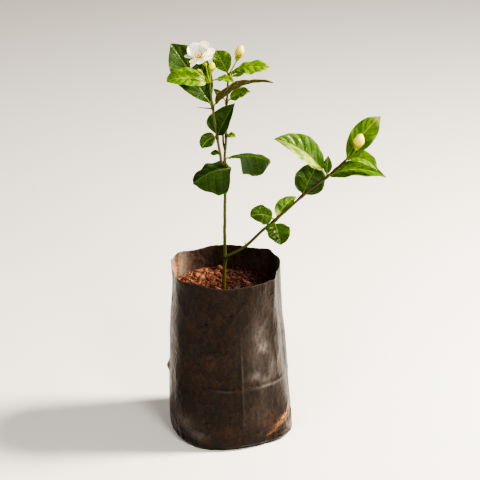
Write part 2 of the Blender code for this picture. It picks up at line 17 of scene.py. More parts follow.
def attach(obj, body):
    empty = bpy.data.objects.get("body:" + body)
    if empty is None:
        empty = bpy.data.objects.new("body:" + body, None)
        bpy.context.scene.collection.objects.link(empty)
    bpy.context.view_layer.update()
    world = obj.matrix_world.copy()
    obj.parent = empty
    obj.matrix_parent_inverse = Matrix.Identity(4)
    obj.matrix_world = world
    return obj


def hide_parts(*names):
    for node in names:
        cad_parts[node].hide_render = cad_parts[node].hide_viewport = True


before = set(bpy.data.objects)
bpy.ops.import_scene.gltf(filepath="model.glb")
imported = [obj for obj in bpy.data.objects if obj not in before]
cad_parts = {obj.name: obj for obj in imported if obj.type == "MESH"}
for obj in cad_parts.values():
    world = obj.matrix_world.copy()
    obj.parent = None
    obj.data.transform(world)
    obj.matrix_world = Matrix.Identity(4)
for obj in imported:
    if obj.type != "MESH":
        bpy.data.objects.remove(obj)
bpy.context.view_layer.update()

MM = 0.001
UP = np.array((0.0, 0.0, 1.0))

# The photograph's camera
PHOTO_PIXELS = 480
CAMERA_RISE = 22.0
CAMERA_DISTANCE = 1600.0
CAMERA_TARGET = np.array((9.0, 0.0, 175.0))
PIXEL_SIZE = 0.858
SENSOR_WIDTH = 36.0

# The studio, in metres: each lamp's place, size, watts and colour
LAMPS = dict(key=((1.02, 0.08, 1.05), 0.30, 60.0, (1.0, 0.93, 0.82)),
             fill=((-0.7, -1.2, 1.2), 0.9, 12.0, (1.0, 0.95, 0.87)),
             front=((0.6, -1.3, 1.1), 0.5, 17.0, (1.0, 0.96, 0.89)))
LAMP_TARGET = (0.01, 0.0, 0.18)
SKY_COLOUR = (0.95, 0.93, 0.90, 1.0)
SKY_STRENGTH = 0.22
FLOOR_REACH = 8.0
FLOOR_DROP = 0.0002

# The bag
BAG_RIM_HEIGHT = 152.0
BAG_RIM_RADIUS = 48.3
BAG_BELLY_RADIUS = 52.6
BAG_FOOT_RADIUS = 48.0
BAG_FOOT_ROUNDING = 5.0
BAG_RIM_SHIFT = np.array((-4.2, -2.2, 0.0))
BAG_WALL = 1.1
BAG_FLOOR = 1.2
WELD_HEIGHT = 57.0
FILM_MEAN_RADIUS = 51.0
FILM_THICKNESS = 0.3
FILM_COLUMNS = 360
FILM_ROWS = 165
FILM_FOOT_ROWS = 12
FILM_FOOT_HEIGHT = 6
FILM_INNER_ROWS = 70
FILM_DEEP_ROWS = 30
FINE_FILM_HEIGHT = 100
CHANCE_CREASES = 60
CREASE_REACH = 60.0
CREASE_SEED = 41

# The soil
SOIL_LEVEL = 131.5
SOIL_CRUMB = 1.5
SOIL_GAP = 0.45
SOIL_DEEP_GAP = 1.3
SOIL_RINGS = 84
SOIL_SEGMENTS = 280
SOIL_LEVELS = (2.5, 12, 20, 32, 45, 57, 70, 76, 82, 88, 95, 105, 115, 124)
SOIL_STEM = (-4.7, 0)
STEM_CLEARANCE = 2.2
CRUMB_COUNT = 1900
COARSE_CRUMBS = 150
CRUMB_FLATS = 9
CRUMB_SEED = 7
COARSE_SIZES = (1.2, 3.1)
FINE_SIZES = (0.3, 1.3)
COARSE_REACH = 42.5
FINE_REACH = 45.8

# Stem centre lines
TRUNK = ((-4.6, 0, 74), (-4.8, 0, 133), (-3.8, 0, 160), (-4.0, 0, 184), (-3.8, 0, 214),
         (-3.8, 0, 242), (-4.0, 0, 251))
SIDE_BRANCH = ((-1.2, -1.1, 160.9), (3, -2, 163.4), (9, -3, 167.3), (16, -4, 173), (28, -6, 186),
               (39, -7, 196.2), (50.5, -8, 207.5), (61.5, -9, 218.5), (82, -10, 236), (99, -11, 253))
LEFT_SHOOT = ((-6.7, -1.4, 246.8), (-7.6, -2, 253), (-9.9, -5, 268), (-11.3, -7, 278.5),
              (-12.5, -8, 288), (-13.6, -9, 296.5), (-14.8, -10, 306), (-16.3, -10, 319))
RIGHT_SHOOT = ((-3.9, 0.7, 251.4), (-3.4, 1.6, 256), (-2.6, 3, 264.5), (-2.5, 5, 275.5),
               (-2.1, 8, 295.5), (-1.6, 9, 301.5), (-1.2, 10, 311.5), (-0.3, 11, 320.8))
MIDDLE_SHOOT = ((-3.6, 1.6, 255), (-5.2, 3.6, 262), (-5.6, 6.5, 274), (-5.7, 9, 284), (-5.5, 10, 290))
SIDE_BRANCH_SOCKET = ((-4.2, -0.2, 158.6),)
LEFT_SOCKET = ((-4.4, -0.2, 242.5),)
RIGHT_SOCKET = ((-4.0, 0.2, 247.5),)
DRY_STUB = ((-13.4, -9, 296), (-20.6, -11, 297.3), (-26.4, -12, 298.2))

# Sections
STEM_SIDES = 14
STEM_STEP = 0.9
PETIOLE_RADIUS = 0.62
PETIOLE_SIDES = 10
PETIOLE_RINGS = 11
PETIOLE_OVERLAP = 0.09
BLADE_THICKNESS = 0.34
BLADE_CELL = 0.62
PETAL_THICKNESS = 0.36
THIN_EDGE = 0.16
MIDRIB_STEPS = 240
FOLD_STEPS = 32
SHARP_FOLD = 45
BLADE_SHOULDER = 0.74
BLADE_ROWS = (26, 84)
HALF_BLADE_COLUMNS = (8, 26)
SMALL_LEAF = 12

# How a leaf looks, where its own facts don't say; the first of a pair is for its left half
LEAF_LOOKS = dict(bend=1.0, fold=(12, 12), halves=(1, 1), petiole=3, widest=0.42, full=0.8, wave=0.7,
                  waves=2.5, torn=0, clear=(0, 0, 0), face_to=-90, laterals=4.5, quilt=1.0, point=0.5,
                  tone=0.4, pale_tip=0, pale_base=0, pale_left=0, ruddy=0, matte=0)


def leaf(height, heading, rise, length, width, droop, face_rise, **looks):
    """Facts of one leaf: its place on the stem, how it leaves it, its size, droop and upward face."""
    return SimpleNamespace(height=height, heading=heading, rise=rise, length=length, width=width,
                           droop=droop, face_rise=face_rise, **dict(LEAF_LOOKS, **looks))


MAIN_LEAVES = (
    leaf(243.5, 190, 2, 34.5, 47, 44, 82, fold=(-64, -10), halves=(0.91, 0.97), clear=(5.5, -3.5, -1.5),
         petiole=1, widest=0.34, full=0.4, wave=1.2, tone=0.12, quilt=0.8, point=0, matte=0.3),
    leaf(247.5, -8, 16, 37, 33, 44, 70, face_to=90, bend=1.5, fold=(10, -80), clear=(0, 0, 1.8),
         widest=0.62, full=0.15, torn=0.3, wave=0.4, tone=0.2, quilt=0.7, point=0),
)
LEFT_LEAVES = (
    leaf(253.5, 150, 20, 8, 6, 50, 50, petiole=2, wave=0.2, tone=0.3, laterals=3.5),
    leaf(269.5, 200, 12, 15, 13, 85, 40, petiole=2, full=0.6, tone=0.36, point=0.8),
    leaf(270.5, 24, 63, 29.5, 34, 8, 20, face_to=-100, fold=(2, 58), halves=(0.82, 0.8), petiole=2,
         widest=0.26, wave=1.0, tone=0.27, laterals=5.5, quilt=0.7, point=1),
    leaf(297, 155, 56, 58, 34, 6, 25, face_to=-80, fold=(10, 10), halves=(0.9, 1), petiole=5,
         widest=0.55, full=0.62, wave=1.0, tone=0.24, laterals=6.5, quilt=0.6, point=0.8, matte=0.9),
    leaf(297, -8, 59, 54.5, 22, 67, 67, face_to=90, petiole=5, wave=0.8, tone=0.16, laterals=6.5,
         point=0.8, ruddy=0.85, matte=0.8),
    leaf(318.5, 198, 29, 33.5, 23.5, 42, 66, petiole=4, full=0.5, wave=0.6, waves=3.0, tone=0.70,
         laterals=5.5, quilt=1.8, point=0.15, pale_base=0.5),
    leaf(318.5, -35, 44, 18, 9, 64, 66, petiole=9, tone=0.8, point=0.8),
)
RIGHT_LEAVES = (
    leaf(268, -35, 35, 8, 6.5, 60, 50, petiole=2, wave=0.3, tone=0.85, laterals=3.5),
    leaf(296, -25, 55, 21, 12.5, 52, 50, petiole=5, wave=0.8, tone=0.72, point=0.8, pale_tip=0.8),
    leaf(296, 155, 50, 11, 6, 20, 50, petiole=5, wave=0.3, tone=0.5),
    leaf(319, 150, 62, 20, 18, 10, 22, face_to=-95, halves=(0.82, 1), widest=0.55, full=0.6, wave=1.2,
         tone=0.68, quilt=1.4, point=0.7),
    leaf(319.5, -18, 38, 35, 17, 50, 68, halves=(0.84, 1.5), petiole=4, widest=0.55, full=0.65, wave=0.9,
         waves=3.0, tone=0.74, laterals=5.5, quilt=1.5, point=0.8, pale_tip=1.0),
    leaf(317, 42, 12, 16, 9, 14, 60, wave=0.4, tone=0.3),
)
SIDE_LEAVES = (
    leaf(196, 206, 48, 21.5, 18, 60, 45, halves=(1.15, 0.92), petiole=4, widest=0.5, full=0.5, wave=1.0,
         tone=0.34, point=0),
    leaf(196.5, 28, 62, 24, 12, 42, 35, face_to=-100, halves=(1.2, 0.85), tone=0.5, point=0.4,
         pale_base=1.0),
    leaf(195, -76, -8, 22.5, 22, 40, 45, face_to=-70, petiole=4, full=0.5, wave=1.2, tone=0.30,
         quilt=1.2, point=0),
    leaf(218.5, 35, 64, 28, 28, 14, 20, face_to=-95, halves=(0.9, 1), petiole=2.5, full=0.55, wave=1.0,
         tone=0.2, quilt=0.7, point=0.3, matte=0.5),
    leaf(235.5, 177, 69, 49.5, 25, 58, 56, bend=0.85, fold=(34, 18), halves=(1.3, 1.08), petiole=8,
         widest=0.47, wave=0.8, tone=0.5, laterals=6.5, quilt=1.3, point=0.9, pale_left=0.75,
         pale_tip=0.25),
    leaf(236, 80, 72, 15, 8.0, 8, 25, wave=0.3, tone=0.35),
    leaf(235.5, -15, 38, 50, 23, 64, 64, fold=(16, 24), halves=(0.75, 1.25), petiole=4, wave=1.0,
         tone=0.55, laterals=6.5, point=0.9),
    leaf(251.5, 17, 62, 44, 25, 24, 22, halves=(0.78, 0.86), widest=0.52, full=0.65, wave=1.2, tone=0.6,
         laterals=6.5, quilt=1.3, point=0.7, pale_tip=0.7),
    leaf(251.5, -32, 36, 30, 16, 84, 62, fold=(20, 30), wave=0.8, tone=0.66, laterals=5.5, point=0.8),
)


def direction(heading, rise):
    h, r = math.radians(heading), math.radians(rise)
    return np.array((math.cos(h) * math.cos(r), math.sin(h) * math.cos(r), math.sin(r)))


# Flowers: base and axis of the bloom and of each bud
OPEN_BLOOM = np.array((-19.1, -8.6, 333.3)), direction(219, 55)
YOUNG_BUD = np.array((-15.0, -12.8, 328.5)), direction(-60, 70)
SMALL_BUD = np.array((-21.4, -9.0, 325.5)), direction(190, 50)
UPPER_BUD = np.array((6.4, 12.0, 331.8)), direction(0, 72)
SIDE_BUD = np.array((105.6, -18.0, 263.4)), direction(-20, 74)
BLOOM_TUBE_LENGTH = 6.5
CALYX_LENGTH = 2.6
SEAT_GAP = 0.35

# Each bud: flower, length, width, depth of its calyx, material slot
BUDS = dict(young_bud=(YOUNG_BUD, 7.0, 5.0, 2.6, "young_bud_yellow"),
            small_bud=(SMALL_BUD, 4.0, 2.2, 2.6, "young_bud_yellow"),
            upper_bud=(UPPER_BUD, 10.5, 7.2, 2.6, "bud_ivory"),
            side_bud=(SIDE_BUD, 12.0, 9.0, 2.4, "bud_ivory"))

# Colours of the petals, of their foot and of the flower's heart, and how deep light goes in
FLOWER_COLOURS = dict(
    petal_white=((0.995, 0.955, 0.82), (0.98, 0.86, 0.44), (0.88, 0.64, 0.10), 1.1),
    bud_ivory=((0.82, 0.69, 0.15), (0.48, 0.38, 0.02), (0.50, 0.30, 0.06), 0.35),
    young_bud_yellow=((0.84, 0.72, 0.03), (0.48, 0.50, 0.02), (0.5, 0.35, 0.03), 0.3))

# Each petal: turn about the axis from the camera's right, opening from the axis, length, width,
# curl, cup
OUTER_PETALS = (
    (0, 84, 13.6, 11.0, 8, 0.28), (-32, 80, 12.8, 9.5, 14, 0.2), (-80, 72, 11.5, 9.0, 14, 0.2),
    (-122, 72, 14.0, 6.5, 16, 0.25), (-130, 58, 12.5, 6.0, 14, 0.25), (160.5, 68, 15.2, 5.5, 14, 0.2),
    (112, 60, 11.5, 8.0, 8, 0.2), (64, 68, 12.0, 8.5, 6, 0.2),
)
CUPPED_PETALS = (
    (38, 69, 14.2, 15.0, -14, 0.3), (88, 52, 10.5, 11.0, -20, 0.4), (122, 50, 13.8, 12.5, -20, 0.5),
    (64, 50, 11.0, 9.0, -12, 0.35), (-15, 66, 10.0, 8.5, -14, 0.4),
)
THROAT_PETALS = (
    (-100, 40, 4.5, 5.0, -10, 0.5), (170, 34, 5.5, 5.0, -14, 0.5), (20, 34, 6.0, 5.5, -12, 0.5),
    (100, 28, 6.0, 5.5, -10, 0.5),
)

# Creases of the film: start angle and height, end angle and height, rise, half width
CREASES = (
    (-75.6, 104, -76.5, 14, 0.75, 0.8), (-36, 139, -40, 104, 0.7, 1.2), (-40, 104, -33, 66, 0.8, 1.1),
    (-100, 56, -68, 57.5, 0.7, 0.9), (-68, 57.5, -18, 57, 1.1, 0.9), (-64, 100, -52, 92, 0.6, 1.5),
    (-66, 76, -58, 66, 0.7, 1.3), (-58, 66, -44, 72, 0.6, 1.3), (-44, 72, -38, 90, 0.5, 1.3),
    (-72, 112, -60, 126, 0.4, 1.5), (-58, 126, -66, 138, 0.35, 1.2), (-110, 16, -140, 24, 0.7, 1.4),
    (-104, 9, -150, 14, 0.8, 1.2), (-150, 14, -170, 26, 0.6, 1.3), (-128, 30, -150, 44, 0.5, 1.5),
    (-70, 12, -34, 20, 0.6, 1.2), (-34, 20, -22, 34, 0.6, 1.2), (-52, 8, -30, 9, 0.8, 1.0),
    (-26, 12, -14, 22, 0.8, 1.1), (-120, 100, -140, 84, 0.35, 1.6), (-96, 120, -118, 112, 0.3, 1.5),
    (-12, 120, -8, 60, 0.5, 1.2), (6, 100, 2, 40, 0.5, 1.3),
)
# Places on the outer film: angle, height, half widths in degrees and millimetres, weight
# Pale patches, partly scuffs and partly painted sheen: highlights on dents, on the weld ridge, along
# creases and on crumples.
SCUFFS_AND_SHEEN = (
    (-57, 106, 6, 9, 0.35), (-51, 92, 6, 5, 0.75), (-62, 67, 8, 4, 0.45), (-55, 90, 15, 34, 0.26),
    (-50, 57, 13, 1.1, 0.8), (-96, 56.5, 10, 0.9, 0.2), (-75.2, 64, 1.1, 30, 0.16),
    (-30, 96, 5, 34, 0.06), (-39, 130, 8, 10, 0.18), (-42, 74, 4, 10, 0.45), (-134, 21, 12, 7, 0.55),
    (-118, 13, 9, 4, 0.4), (-21, 60, 8, 26, 0.14), (-22, 12, 10, 6, 0.7), (60, 90, 26, 44, 0.42),
    (120, 60, 18, 20, 0.3), (-60, 30, 12, 14, 0.15), (-152, 104, 6, 18, 0.15), (92, 128, 16, 10, 0.35),
    (165, 40, 16, 18, 0.3), (-50, 62, 4, 3, 0.5),
)
RUSTS = (
    (-104, 82, 9, 7, 0.8), (-110, 64, 10, 6, 0.9), (-148, 28, 10, 8, 0.9), (-164, 52, 10, 14, 0.6),
    (-94, 18, 12, 5, 0.7), (-60, 28, 12, 8, 0.6), (-128, 112, 10, 9, 0.5), (-46, 22, 10, 7, 0.9),
    (-98, 122, 16, 6, 0.35), (30, 30, 22, 8, 0.5), (100, 22, 24, 9, 0.6), (150, 84, 18, 16, 0.4),
    (75, 60, 12, 12, 0.3), (-24, 72, 7, 12, 0.9), (-14, 40, 10, 14, 0.6), (-136, 66, 12, 9, 0.5),
)
# Smears of pale soil: start angle and height, end angle and height, weight, half width
SMEARS = (
    (-43, 16, -18, 29.5, 1.0, 1.5), (-37, 21, -22, 28.5, 0.9, 0.9), (-46, 13, -30, 19, 0.7, 1.1),
    (-34, 16, -20, 23, 0.6, 0.7), (-52, 9, -40, 13, 0.5, 0.9), (-20, 62, -16, 74, 0.6, 0.8),
    (-24, 54, -21, 66, 0.5, 0.6), (-22, 7, -12, 11, 0.5, 1.2), (60, 12, 84, 16, 0.6, 1.8),
    (126, 8, 150, 12, 0.6, 1.6), (-158, 14, -140, 10, 0.4, 0.9),
)


# Curves and noise

def lerp(a, b, t):
    return a + (b - a) * t


def smooth(edge0, edge1, x):
    t = np.clip((x - edge0) / (edge1 - edge0), 0.0, 1.0)
    return t * t * (3 - 2 * t)


def hump(away, width):
    """A round hump of height 1 where away is 0."""
    return np.exp(-(away / width) ** 2)


def bump(angle, centre, width):
    """A hump round a centre, all angles in degrees."""
    return hump((angle - centre + 180) % 360 - 180, width)


def unit(v):
    return v / np.maximum(np.linalg.norm(v, axis=-1, keepdims=True), 1e-9)


def noise_at(points, scale, seed=0.0):
    """Noise between about -1 and 1 at each of many points."""
    spots = np.asarray(points, float).reshape(-1, 3) * scale + seed
    return np.array([noise.noise(Vector(p)) for p in spots]).reshape(np.shape(points)[:-1])


def smooth_path(points, steps=4):
    """Catmull-Rom curve through the points."""
    pts = np.array(points, float)
    ends = np.vstack([2 * pts[:1] - pts[1:2], pts, 2 * pts[-1:] - pts[-2:-1]])
    t = (np.arange(steps) / steps)[:, None]
    spans = []
    for a, b, c, d in zip(ends, ends[1:], ends[2:], ends[3:]):
        spans.append(0.5 * (2 * b + (c - a) * t + (2 * a - 5 * b + 4 * c - d) * t * t
                            + (3 * b - a - 3 * c + d) * t ** 3))
    return np.vstack(spans + [pts[-1:]])


def at_share(share, values):
    """Values given at even shares of a length, read at any share."""
    return np.interp(share, np.linspace(0, 1, len(values)), values)


def run_along(path):
    """Distance along a path at each of its points."""
    return np.concatenate([[0], np.cumsum(np.linalg.norm(np.diff(path, axis=0), axis=1))])


def read_path(at, known, path):
    """Points of a path at given values, between the values that its own points have."""
    return np.stack([np.interp(at, known, path[:, k]) for k in range(3)], -1)


def even_path(points, step):
    """The same curve with its points an even step apart."""
    fine = smooth_path(points, 24)
    run = run_along(fine)
    count = max(int(run[-1] / step), 2)
    return read_path(np.linspace(0, run[-1], count + 1), run, fine)


def on_stem(stem, height):
    """The point of a stem's centre line at a height above the ground."""
    path = smooth_path(stem)
    return read_path(height, path[:, 2], path)


def turns_of(sides):
    return 2 * np.pi * np.arange(sides) / sides


def side_of(axis, heading=0.0):
    """A direction square to an axis, on its right as the camera sees it, turned by a heading."""
    right = np.array((1.0, 0.0, 0.0))
    right = right - axis * (right @ axis)
    right = right / np.linalg.norm(right)
    turn = math.radians(heading)
    return right * math.cos(turn) + np.cross(axis, right) * math.sin(turn)


# Meshes

VECTOR_CHANNELS = ("grain", "blade", "drawn")


class Shape:
    """Points, faces and values at the points of one piece, while it is put together."""

    def __init__(self, *channels):
        self.points = []
        self.faces = []
        self.count = 0
        self.values = {name: [] for name in channels}

    def add(self, points, faces, **values):
        self.points.append(np.asarray(points, float).reshape(-1, 3))
        size = len(self.points[-1])
        shift = self.count
        self.faces += [tuple(k + shift for k in face) for face in faces]
        self.count += size
        for name, held in self.values.items():
            value = np.asarray(values.get(name, 0.0), float)
            wide = 3 if name in VECTOR_CHANNELS else 1
            held.append(np.broadcast_to(value, (size, wide)) if value.ndim < 1 or value.shape == (wide,)
                        else value.reshape(size, wide))


def show(name, data):
    """A new object in the scene."""
    shown = bpy.data.objects.new(name, data)
    bpy.context.scene.collection.objects.link(shown)
    return shown


def make_piece(name, shape, material, node, slot, sharp=50):
    """One shown object from a shape, which rides on the body and stands for a node."""
    mesh = bpy.data.meshes.new(name)
    points = np.vstack(shape.points) * MM
    mesh.from_pydata(points.tolist(), [], shape.faces)
    mesh.polygons.foreach_set("use_smooth", [True] * len(mesh.polygons))
    for channel, held in shape.values.items():
        wide = channel in VECTOR_CHANNELS
        attribute = mesh.attributes.new(channel, "FLOAT_VECTOR" if wide else "FLOAT", "POINT")
        attribute.data.foreach_set("vector" if wide else "value", np.vstack(held).ravel())
    mesh.materials.append(material)
    mesh.update()
    mesh.set_sharp_from_angle(angle=math.radians(sharp))
    piece = show(name, mesh)
    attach(piece, "root")
    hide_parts(node)


def sheet_faces(rows, cols):
    """Faces of a closed sheet: an upper grid, a lower grid, and the rim between them."""
    k = np.arange(rows * cols).reshape(rows, cols)
    a, b, c, d = k[:-1, :-1].ravel(), k[:-1, 1:].ravel(), k[1:, 1:].ravel(), k[1:, :-1].ravel()
    under = rows * cols
    top = np.stack([a, d, c, b], 1)
    bottom = np.stack([a, b, c, d], 1) + under
    edge = np.concatenate([k[0, :], k[1:, -1], k[-1, -2::-1], k[-2:0:-1, 0]])
    ahead = np.roll(edge, -1)
    rim = np.stack([edge, ahead, ahead + under, edge + under], 1)
    return np.vstack([top, bottom, rim]).tolist()


def add_sheet(shape, top, thick, grids, **values):
    """A closed sheet below a grid of points, with the same values on both its faces."""
    normals = unit(np.cross(np.gradient(top, axis=0), np.gradient(top, axis=1)))
    bottom = top - normals * thick[..., None]
    both = {name: np.concatenate([grid.reshape(thick.size, -1)] * 2) for name, grid in grids.items()}
    shape.add(np.vstack([top.reshape(-1, 3), bottom.reshape(-1, 3)]), sheet_faces(*thick.shape),
              under=np.repeat([0.0, 1.0], thick.size), **both, **values)


def ring_faces(rings, size):
    """Faces of a closed tube whose rings follow each other."""
    k = np.arange(rings * size).reshape(rings, size)
    ahead = np.roll(k, -1, axis=1)
    faces = np.stack([k[:-1].ravel(), ahead[:-1].ravel(), ahead[1:].ravel(), k[1:].ravel()], 1)
    return faces.tolist() + [k[0, ::-1].tolist(), k[-1].tolist()]


def tube_rings(path, radii, sides, flat=1.0, side=None):
    """Rings of points round a path; flat squashes them across the given side."""
    path = np.asarray(path, float)
    ahead = unit(np.gradient(path, axis=0))
    if side is None:
        side = np.cross(ahead[0], UP)
        if np.linalg.norm(side) < 0.2:
            side = np.array((1.0, 0.0, 0.0))
    turns = turns_of(sides)
    rings = []
    for centre, forward, radius in zip(path, ahead, radii):
        side = side - forward * np.dot(side, forward)
        side = side / np.linalg.norm(side)
        other = np.cross(forward, side)
        spokes = np.outer(np.cos(turns), side) + np.outer(np.sin(turns) * flat, other)
        rings.append(centre + radius * spokes)
    return np.array(rings)


def add_tube(shape, rings, path, radii, seed=0.0, **values):
    """A closed tube from its rings, with a grain that runs along it and round it without a seam."""
    turns = turns_of(rings.shape[1])
    grain = np.empty(rings.shape)
    grain[..., 0] = np.outer(radii, np.cos(turns))
    grain[..., 1] = np.outer(radii, np.sin(turns))
    grain[..., 2] = run_along(path)[:, None]
    shape.add(rings, ring_faces(*rings.shape[:2]), grain=grain + seed, **values)


# Stems

def add_stem(shape, line, radius_low, radius_high, nodes=(), wood=(0.5, 0.25), seed=0.0, round_tip=False):
    """A stem with swollen nodes, faint ridges and a bark that varies."""
    path = even_path(line, STEM_STEP)
    share = np.linspace(0, 1, len(path))
    radii = lerp(radius_low, radius_high, share)
    ring = np.zeros(len(path))
    for node in nodes:
        away = path[:, 2] - node
        radii = radii * (1 + 0.35 * hump(away, 2.5))
        ring += hump(away, 1.1)
    radii = radii * (1 + 0.05 * noise_at(path, 0.35, seed) + 0.06 * ring)
    if round_tip:
        radii = radii * np.sqrt(np.clip(1 - smooth(0.97, 1.0, share) ** 2, 0.02, 1))
    wander = np.stack([noise_at(path, 0.12, seed + 3), noise_at(path, 0.12, seed + 7), share * 0], 1)
    path = path + wander * 0.35 * np.sin(np.pi * share)[:, None]
    rings = tube_rings(path, radii, STEM_SIDES)
    centres = path[:, None, :]
    rough = noise_at(rings, 0.9, seed) * 0.06 + noise_at(rings, 2.4, seed) * 0.03
    rough += 0.04 * np.cos(4 * turns_of(STEM_SIDES) + 0.6)
    rings = centres + (rings - centres) * (1 + rough[..., None])
    bark = np.clip(lerp(wood[0], wood[1], share) + 0.55 * ring, 0, 1)
    add_tube(shape, rings, path, radii, seed, bark=np.repeat(bark, STEM_SIDES))


def add_twig(shape, points, radii, bark=0.5, fresh=0.0, sides=9, steps=12, seed=0.0, flat=1.0, side=None):
    """A thin stalk whose radii are given at even shares of its length."""
    path = smooth_path(points, max(steps // (len(points) - 1), 2))
    share = np.linspace(0, 1, len(path))
    radius = at_share(share, radii) * (1 + 0.05 * noise_at(path, 0.7, seed))
    rings = tube_rings(path, radius, sides, flat, side)
    add_tube(shape, rings, path, radius, seed, bark=bark, fresh=fresh)


def add_stub(shape, stem, height, heading, rise, length, radii, outward=0.0, middle=0.6, **looks):
    """A short straight twig that leaves a stem at a height."""
    foot = on_stem(stem, height) + direction(heading, 0) * outward
    tip = foot + direction(heading, rise) * length
    add_twig(shape, (foot, lerp(foot, tip, middle), tip), radii, **looks)


# Leaves

def leaf_path(stem, facts):
    """The line of a leaf's petiole and midrib, and where along it the blade begins."""
    root = on_stem(stem, facts.height)
    whole = facts.length + facts.petiole
    share = (np.arange(MIDRIB_STEPS) + 0.5) / MIDRIB_STEPS
    heading, rise = math.radians(facts.heading), np.radians(facts.rise - facts.droop * share ** facts.bend)
    steps = np.stack([math.cos(heading) * np.cos(rise), math.sin(heading) * np.cos(rise), np.sin(rise)], 1)
    start = root + np.array(facts.clear, float)
    path = np.vstack([start, start + np.cumsum(steps, axis=0) * (whole / MIDRIB_STEPS)])
    return root, path, facts.petiole / whole


def outline(share, widest, full):
    """Half width along a leaf or petal as a share of the greatest, which it has at widest."""
    power = math.log(0.5) / math.log(widest)
    return np.maximum(np.sin(np.pi * share ** power), 0.0) ** full


def blade_width(s, facts):
    """The outline of a blade with the leaf's own tip."""
    plain = outline(s, facts.widest, facts.full)
    pointed = outline(BLADE_SHOULDER, facts.widest, facts.full)
    pointed = pointed * (1 - np.clip((s - BLADE_SHOULDER) / (1 - BLADE_SHOULDER), 0, 1)) ** 0.92
    width = lerp(plain, np.minimum(plain, pointed), facts.point * smooth(BLADE_SHOULDER, 0.95, s))
    return np.maximum(width, 0.012)


def fold_half(fold):
    """How far out and up a half blade comes at even shares of its width; a slight fold is round."""
    share = np.linspace(0, 1, FOLD_STEPS + 1)
    turned = 0.6 + 0.4 * smooth(0.0, 0.45, share) if abs(fold) < SHARP_FOLD else np.ones_like(share)
    angle = np.radians(fold * turned)
    flat, steep = np.cos(angle), np.sin(angle)
    out, lift = [np.concatenate([[0], np.cumsum((k[1:] + k[:-1]) / 2)]) / FOLD_STEPS for k in (flat, steep)]
    return share, out, lift


